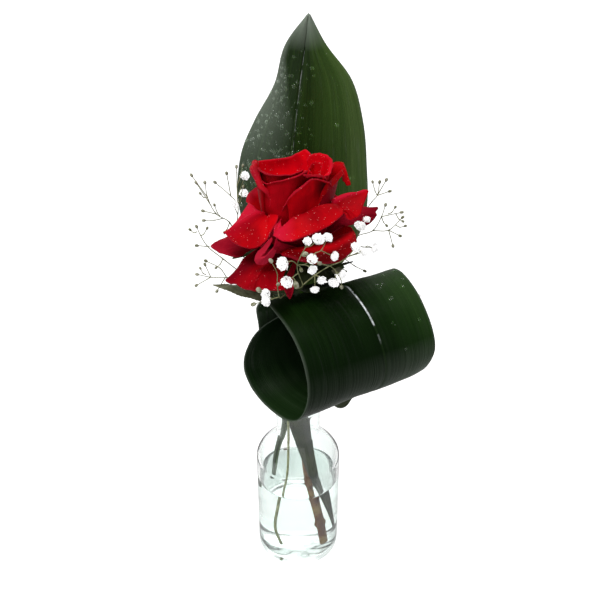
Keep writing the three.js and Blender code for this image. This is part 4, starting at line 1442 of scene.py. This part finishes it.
# ---- gypsophila: twigs, ruffled double flowers and buds
gypsophila = {
    "stem": [
        (-9, -5, 10), (-12.5, -5, 27), (-11, -6, 52), (-8, -6.5, 82), (-6.8, -6.5, 112), (-6.5, -6, 140),
        (-7.5, -3, 175), (-10, -1, 210), (-12, -1, 236),
    ],
    "stemRadius": (0.95, 0.75),
    "twigRadius": 0.27,
    "joint": 0.42,
    "twigs": [  # what it ends in, how big that is, and the twig's way there
        ("bud", 1.2, [(-12, -1, 234), (-34, -5, 272), (-43, -6, 301), (-51, -6, 307), (-56, -6, 319),
            (-57, -6, 329)]),
        ("bud", 1.2, [(-54, -6, 313), (-62, -8, 330)]),
        ("bud", 1.2, [(-56, -6, 319), (-65, -4, 333)]),
        ("bud", 1.2, [(-47, -6, 304), (-52, -10, 305), (-58, -12, 306)]),
        ("bud", 1.2, [(-51, -6, 307), (-59, -4, 308)]),
        ("bud", 1.2, [(-34, -5, 272), (-39, -2, 290), (-38, 1, 310), (-42, 1, 316), (-51, 0, 326)]),
        ("bud", 1.2, [(-42, 1, 316), (-44, 2, 331)]),
        ("bud", 1.2, [(-38, 1, 310), (-38, 3, 322), (-38, 5, 334)]),
        ("flower", 2.9, [(-38, 2, 314), (-33, 3, 329)]),
        ("flower", 2.9, [(-38, 1, 308), (-34, 2, 317)]),
        ("flower", 2.9, [(-38, 0, 303), (-40, -5, 313)]),
        ("bud", 1.2, [(-20, -2, 247), (-34, -12, 264), (-45, -24, 271), (-55, -25, 272), (-63, -25, 274)]),
        ("bud", 1.2, [(-34, -12, 264), (-47, -22, 284), (-56, -22, 293), (-60, -22, 301), (-62, -22, 307)]),
        ("bud", 1.2, [(-55, -22, 293), (-62, -24, 295)]),
        ("bud", 1.2, [(-45, -24, 271), (-49, -25, 279), (-57, -25, 284)]),
        ("bud", 1.2, [(-55, -25, 272), (-64, -25, 266)]),
        ("bud", 1.2, [(-55, -25, 272), (-58, -25, 281)]),
        ("bud", 1.2, [(-46, -24, 271), (-51, -28, 264)]),
        ("bud", 1.2, [(-12, -1, 234), (4, 1, 250), (28, 0, 272), (38, -2, 288), (48, -3, 293),
            (53, -4, 304), (55, -4, 312)]),
        ("bud", 1.2, [(38, -2, 288), (41, 1, 301), (47, 1, 312), (50, 0, 317), (51, 0, 326)]),
        ("bud", 1.2, [(50, 0, 317), (55, 1, 327)]),
        ("bud", 1.2, [(50, 0, 317), (57, -2, 321)]),
        ("bud", 1.2, [(48, -3, 293), (58, -4, 294), (66, -4, 303)]),
        ("bud", 1.2, [(58, -4, 294), (65, -4, 290)]),
        ("bud", 1.2, [(58, -4, 294), (61, -6, 284)]),
        ("bud", 1.2, [(53, -4, 304), (65, -4, 307)]),
        ("flower", 2.9, [(34, -1, 282), (43, -7, 283), (49, -9, 284)]),
        ("bud", 1.2, [(28, 0, 272), (37, -6, 268), (43, -10, 267)]),
        ("flower", 2.4, [(-12, -1, 232), (-13, -9, 250), (-14, -26, 268), (-4, -50, 281), (3, -73, 299),
            (0.5, -79, 311.5), (0, -83, 320), (2, -85.5, 327.5), (4.5, -86, 333.5), (5.5, -86, 337)]),
        ("flower", 3.5, [(4.5, -86, 333.5), (7.5, -87, 335), (11, -85, 337.5)]),
        ("bud", 1.8, [(2, -85.5, 327.5), (3.5, -86, 328.5)]),
        ("flower", 3, [(0, -83, 320), (4, -84.5, 321), (8, -86, 325.5)]),
        ("flower", 2.9, [(4, -84.5, 321), (6.5, -85, 320), (8, -85, 318.5)]),
        ("flower", 3.9, [(0, -83, 320), (-3, -84, 323), (-7.5, -84, 321.5)]),
        ("flower", 3.6, [(0.5, -79, 311.5), (-2.5, -80, 309.5), (-5.5, -82, 308)]),
        ("bud", 2.2, [(-2.5, -80, 309.5), (-1.5, -80.5, 308), (-1, -81, 306)]),
        ("bud", 1.3, [(0, -83, 320), (1.5, -83, 318.5), (2, -83, 317)]),
        ("flower", 3.2, [(3, -73, 299), (10, -76, 308), (18.5, -79, 316.5), (25, -76, 317.5),
            (29, -71, 317.5), (33, -66, 320)]),
        ("flower", 2.8, [(29, -71, 317.5), (34, -66, 316), (38, -61, 314)]),
        ("flower", 2.6, [(29, -71, 317.5), (36.5, -60, 314), (41, -52, 312.5), (45, -46, 307)]),
        ("flower", 3.3, [(18.5, -79, 316.5), (22, -79, 312.5), (21, -79, 306)]),
        ("flower", 2.8, [(22, -79, 312.5), (25, -76, 309)]),
        ("bud", 1.4, [(22, -79, 312.5), (25, -77, 305.5), (25.5, -76, 300.5)]),
        ("bud", 1.5, [(18.5, -79, 316.5), (15.5, -81, 318.5), (13, -82, 320)]),
        ("flower", 2.8, [(10, -76, 308), (8, -82, 318.5), (9.5, -86.5, 329.5), (13, -87, 332),
            (16.5, -84, 338)]),
        ("flower", 2.8, [(13, -87, 332), (17.5, -85.5, 328.5), (20, -84, 326.5)]),
        ("flower", 2.6, [(10, -76, 308), (12.5, -79, 309), (13.5, -80, 308)]),
        ("flower", 2.6, [(10, -76, 308), (10, -79, 305.5), (10, -79, 301)]),
        ("bud", 1.5, [(-4, -50, 281), (-9, -66, 286), (-10.5, -77, 293.5), (-11.5, -80, 304),
            (-11.5, -83, 314.5), (-14.5, -84, 322.5)]),
        ("bud", 1.4, [(-11.5, -79, 300.5), (-11, -82, 305.5)]),
        ("flower", 3.1, [(-10.5, -77, 293.5), (-14.5, -79, 293.5), (-17.5, -80, 293)]),
        ("flower", 2.8, [(-14.5, -79, 293.5), (-18, -79, 297)]),
        ("bud", 1.8, [(-18, -79, 295), (-21.5, -79, 299)]),
        ("bud", 1.6, [(-17.5, -79, 293), (-25, -77, 288.5)]),
        ("flower", 3, [(33, -10, 290), (37, -22, 301), (39, -23, 308)]),
        ("flower", 2.4, [(37, -22, 301), (40.5, -18, 305.5), (42.5, -16, 309)]),
        ("flower", 2.2, [(37, -22, 301), (38.5, -24, 305.5), (37, -24, 310)]),
        ("bud", 1, [(-56, -6, 319), (-58, -7, 319.5), (-60, -7, 322)]),
        ("bud", 1, [(-43, -6, 301), (-44.5, -8, 297.5), (-46, -9, 296)]),
        ("bud", 1, [(-38, 1, 310), (-36, 0, 315.5), (-34, 0, 323)]),
        ("bud", 1, [(-62, -22, 304), (-64, -22.5, 303.5), (-66, -22, 305)]),
        ("bud", 1, [(-47, -22, 284), (-49, -23.5, 280.5), (-51, -24, 279)]),
        ("bud", 1, [(-58, -25, 274), (-59.5, -26, 275.5), (-61, -26, 279)]),
        ("bud", 1, [(53, -4, 304), (54.5, -5.5, 300.5), (56, -6, 299)]),
        ("bud", 1, [(62, -4, 298), (65, -4.5, 296.5), (68, -4, 297)]),
        ("bud", 1, [(50, 0, 317), (48.5, 0.5, 320), (47, 2, 325)]),
        ("bud", 1, [(57, -4, 306), (59, -5, 307.5), (61, -5, 311)]),
        ("bud", 1, [(-38, 3, 322), (-36, 2.5, 328), (-34, 3, 336)]),
        ("bud", 1, [(-49, -5, 305), (-50.5, -5, 307.5), (-52, -4, 312)]),
        ("bud", 1, [(62, -4, 306), (64, -5.5, 303), (66, -6, 302)]),
        ("bud", 1, [(-60, -22, 301), (-58, -22.5, 302.5), (-56, -22, 306)]),
        ("bud", 1, [(41, 1, 301), (38.5, 1, 304), (36, 2, 309)]),
    ],
}


def geometryTool(name, inputs):  # a geometry node tree with named inputs
    tree = bpy.data.node_groups.new(name, "GeometryNodeTree")
    tree.interface.new_socket(name="Geometry", in_out="INPUT", socket_type="NodeSocketGeometry")
    ids = {}
    for label, kind, value in inputs:
        socket = tree.interface.new_socket(name=label, in_out="INPUT", socket_type=kind)
        if value is not None:
            socket.default_value = value
        ids[label] = socket.identifier
    tree.interface.new_socket(name="Geometry", in_out="OUTPUT", socket_type="NodeSocketGeometry")
    add = nodeTool(tree)
    given = add("NodeGroupInput").outputs

    def done(geometry):  # makes copies real and gives them their finish
        real = add("GeometryNodeRealizeInstances", {0: geometry}).outputs[0]
        finished = add("GeometryNodeSetMaterial", {"Geometry": real, "Material": given["Finish"]})
        tree.links.new(finished.outputs[0], add("NodeGroupOutput").inputs[0])
        return tree, ids

    return add, given, done


def grow(carrier, tree, ids, values, name):  # runs a tree on a carrier mesh and keeps the plain result
    holder = bpy.data.objects.new(f"{name}Carrier", carrier)
    bpy.context.collection.objects.link(holder)
    modifier = holder.modifiers.new(name, "NODES")
    modifier.node_group = tree
    for label, value in values.items():
        modifier[ids[label]] = value
    bpy.context.view_layer.update()
    ready = holder.evaluated_get(bpy.context.evaluated_depsgraph_get())
    mesh = bpy.data.meshes.new_from_object(ready)
    mesh.name = name
    bpy.data.objects.remove(holder)
    return mesh


def headsTree():  # a shape on every point, turned by the point's own normal and scaled by its size
    add, given, done = geometryTool(
        "flowerHeads",
        [("Head", "NodeSocketObject", None), ("Turning", floats, 6.28), ("Seed", "NodeSocketInt", 3),
         ("Finish", "NodeSocketMaterial", None)],
    )
    points = add("GeometryNodeMeshToPoints", {"Mesh": given["Geometry"]})
    head = add("GeometryNodeObjectInfo", {"Object": given["Head"]})
    facing = add("GeometryNodeInputNamedAttribute", {"Name": "facing"}, data_type="FLOAT_VECTOR")
    size = add("GeometryNodeInputNamedAttribute", {"Name": "size"}, data_type="FLOAT")
    aim = add("FunctionNodeAlignRotationToVector", {"Vector": facing.outputs[0]}, axis="Z")
    draw = {2: 0.0, 3: given["Turning"], "Seed": given["Seed"]}
    spin = add("FunctionNodeRandomValue", draw, data_type="FLOAT")
    about = add("FunctionNodeAxisAngleToRotation", {"Angle": spin.outputs[1]})
    turns = {0: aim.outputs[0], 1: about.outputs[0]}
    turned = add("FunctionNodeRotateRotation", turns, rotation_space="LOCAL")
    placed = add(
        "GeometryNodeInstanceOnPoints",
        {"Points": points.outputs[0], "Instance": head.outputs["Geometry"], "Rotation": turned.outputs[0],
         "Scale": size.outputs[0]},
    )
    return done(placed.outputs[0])


def twigTree():  # round twigs along a mesh of edges, as thick as each point says
    add, given, done = geometryTool(
        "roundTwigs", [("Sides", "NodeSocketInt", 7), ("Finish", "NodeSocketMaterial", None)],
    )
    lines = add("GeometryNodeMeshToCurve", {0: given["Geometry"]})
    thick = add("GeometryNodeInputNamedAttribute", {"Name": "thick"}, data_type="FLOAT")
    ring = add("GeometryNodeCurvePrimitiveCircle", {"Resolution": given["Sides"], "Radius": 1.0})
    tube = add("GeometryNodeCurveToMesh", {"Curve": lines.outputs[0], "Profile Curve": ring.outputs[0],
                                           "Scale": thick.outputs[0], "Fill Caps": True})
    return done(add("GeometryNodeSetShadeSmooth", {0: tube.outputs[0]}).outputs[0])


bloom = {  # each ring's lean, number of petals and their size
    "rings": [(0.12, 4, 0.34), (0.45, 8, 0.38), (0.85, 11, 0.42), (1.3, 12, 0.46), (1.75, 9, 0.42)],
    "cup": 0.3, "ruffle": 0.22, "rise": 0.35,
}


def bloomMesh():  # one double flower of radius 1: rings of small ruffled petals about +Z
    vertices = []
    faces = []
    for ring, (lean, count, size) in enumerate(bloom["rings"]):
        for index in range(count):
            turn = 2 * math.pi * (index + 0.37 * ring) / count
            turn += 0.5 * noise.noise(Vector((index * 3.1, ring, 1)))
            tilt = lean + 0.25 * noise.noise(Vector((index * 5.3, ring * 2.1, 7)))
            out = Vector((math.sin(tilt) * math.cos(turn), math.sin(tilt) * math.sin(turn), math.cos(tilt)))
            side = Vector((-math.sin(turn), math.cos(turn), 0))
            rise = side.cross(out)
            first = len(vertices)
            flare = (out * bloom["rise"] - rise * 0.8).normalized()
            for row, (reach, half) in enumerate(((-0.35, 0.45), (0.45, 1.0), (1.0, 0.7))):
                for column in (-1, 0, 1):
                    wave = noise.noise(Vector((index * 2.7 + column, row * 1.9, ring * 4.1)))
                    lift = bloom["cup"] * size * (column * column * 0.5 + row * 0.2) + bloom["ruffle"] * wave
                    notch = -0.14 if row == 2 and column == 0 else 0
                    spot = out * (0.72 + lift) + flare * (reach + notch) * size + side * column * half * size
                    vertices.append(spot)
            for row in range(2):
                for column in range(2):
                    a = first + row * 3 + column
                    faces.append((a, a + 1, a + 4, a + 3))
    mesh = bpy.data.meshes.new("bloom")
    mesh.from_pydata(vertices, [], faces)
    return smoothFaces(mesh)


def budMesh():  # one bud of radius 1: a five-ridged egg, slimmer below
    bm = bmesh.new()
    bmesh.ops.create_uvsphere(bm, u_segments=9, v_segments=6, radius=1)
    for vertex in bm.verts:
        ridge = 1 + 0.08 * math.cos(5 * math.atan2(vertex.co.y, vertex.co.x))
        vertex.co.x *= ridge * (0.86 if vertex.co.z > 0 else 0.8)
        vertex.co.y *= ridge * (0.86 if vertex.co.z > 0 else 0.8)
        vertex.co.z = vertex.co.z * 1.15 + 0.5
    mesh = bpy.data.meshes.new("bud")
    bm.to_mesh(mesh)
    bm.free()
    return smoothFaces(mesh)


def pointCloud(name, heads):  # points with a facing and a size each
    mesh = bpy.data.meshes.new(name)
    mesh.from_pydata([place * mm for place, facing, size in heads], [], [])
    facing = mesh.attributes.new("facing", "FLOAT_VECTOR", "POINT")
    facing.data.foreach_set("vector", [part for head in heads for part in head[1]])
    size = mesh.attributes.new("size", "FLOAT", "POINT")
    size.data.foreach_set("value", [head[2] * mm for head in heads])
    return mesh


def makeGypsophila():
    spots, edges, thick = [], [], []

    def addLine(points, radii, steps, joint):
        line = vectors(points)
        total = (len(line) - 1) * steps
        for k in range(total + 1):
            t = k / total
            if k:
                edges.append((len(spots) - 1, len(spots)))
            spots.append(curvePoint(line, t) * mm)
            near = min(abs(t * (len(line) - 1) - round(t * (len(line) - 1))), 1)
            swelling = joint * math.exp(-((near / 0.12) ** 2)) * (0 < t < 1)
            thick.append(mix(*radii, t) * (1 + swelling) * mm)

    addLine(gypsophila["stem"], gypsophila["stemRadius"], 12, 0)
    heads = {"flower": [], "bud": []}
    size = gypsophila["twigRadius"]
    for end, radius, path in gypsophila["twigs"]:
        addLine(path, (size * (1.3 if len(path) > 5 else 1.1), size * 0.8), 6, gypsophila["joint"])
        line = vectors(path)
        facing = (line[-1] - line[-2]).normalized()
        if end == "flower":
            facing = (facing + Vector((0, -0.8, 0.5))).normalized()
        heads[end].append((line[-1], facing, radius))
    mesh = bpy.data.meshes.new("twigLines")
    mesh.from_pydata(spots, edges, [])
    mesh.attributes.new("thick", "FLOAT", "POINT").data.foreach_set("value", thick)
    tree, ids = twigTree()
    twigs = grow(mesh, tree, ids, {"Sides": 8, "Finish": finishes["twig"]}, "gypsophilaTwigs")
    addPiece("gypsophilaTwigs", twigs, "gypsophila", "gypsophila")
    tree, ids = headsTree()
    ends = (("flower", bloomMesh(), "gypsophilaFlowers"), ("bud", budMesh(), "gypsophilaBuds"))
    for end, shape, name in ends:
        model = bpy.data.objects.new(f"{end}Model", shape)
        bpy.context.collection.objects.link(model)
        cloud = pointCloud(f"{end}Points", heads[end])
        grown = grow(cloud, tree, ids, {"Head": model, "Seed": 4, "Finish": finishes[end]}, name)
        bpy.data.objects.remove(model)
        addPiece(name, grown, "gypsophila", "gypsophila")


makeGypsophila()
print("gypsophila made")

# ---- droplets on the petals and the leaves
droplets = {
    "rose": {"density": 80000, "low": 0.14, "high": 0.34, "seed": 11, "slot": "petal", "finish": "dew"},
    "leaves": {
        "density": 90000, "low": 0.3, "high": 2.0, "seed": 5, "slot": "broad_leaf", "finish": "droplet",
    },
    "flatness": 0.6,
}


def dropletTree():
    add, given, done = geometryTool(
        "droplets",
        [("Density", floats, 1000), ("Smallest", floats, 0.0002), ("Largest", floats, 0.0005),
         ("Flatness", floats, 0.6), ("Seed", "NodeSocketInt", 1), ("Finish", "NodeSocketMaterial", None)],
    )
    wet = add("GeometryNodeInputNamedAttribute", {"Name": "wet"}, data_type="FLOAT")
    amount = times(add, wet.outputs[0], given["Density"])
    spread = add("GeometryNodeDistributePointsOnFaces",
                 {"Mesh": given["Geometry"], "Density": amount, "Seed": given["Seed"]})
    drop = add("GeometryNodeMeshUVSphere", {"Segments": 8, "Rings": 5, "Radius": 1.0})
    soft = add("GeometryNodeSetShadeSmooth", {0: drop.outputs[0]}).outputs[0]
    squash = add("ShaderNodeCombineXYZ", {0: 1.0, 1: 1.0, 2: given["Flatness"]}).outputs[0]
    flat = add("GeometryNodeTransform", {"Geometry": soft, "Scale": squash})
    chance = add("FunctionNodeRandomValue", {2: 0.0, 3: 1.0, "Seed": given["Seed"]}, data_type="FLOAT")
    rare = reckon(add, "POWER", chance.outputs[1], 3)  # so that large drops are rare
    size = fit(add, rare, 0, 1, given["Smallest"], given["Largest"])
    placed = add(
        "GeometryNodeInstanceOnPoints",
        {"Points": spread.outputs["Points"], "Instance": flat.outputs[0],
         "Rotation": spread.outputs["Rotation"], "Scale": size},
    )
    return done(placed.outputs[0])


def makeDroplets():
    tree, ids = dropletTree()
    for where in ("rose", "leaves"):
        s = droplets[where]
        bm = bmesh.new()
        for sheet, thickness in wetSheets[where]:
            lifted = sheet.copy()
            normals = [vertex.normal.copy() for vertex in lifted.vertices]
            for vertex, normal in zip(lifted.vertices, normals):
                vertex.co += normal * thickness * 0.5 * mm
            bm.from_mesh(lifted)
        carrier = bpy.data.meshes.new(f"{where}Wet")
        bm.to_mesh(carrier)
        bm.free()
        values = {"Density": s["density"], "Smallest": s["low"] * mm, "Largest": s["high"] * mm,
                  "Flatness": droplets["flatness"], "Seed": s["seed"], "Finish": finishes[s["finish"]]}
        mesh = grow(carrier, tree, ids, values, f"{where}Droplets")
        print(where, "droplets:", len(mesh.polygons), "faces")
        addPiece(f"{where}Droplets", mesh, s["slot"])


makeDroplets()
print("droplets made")
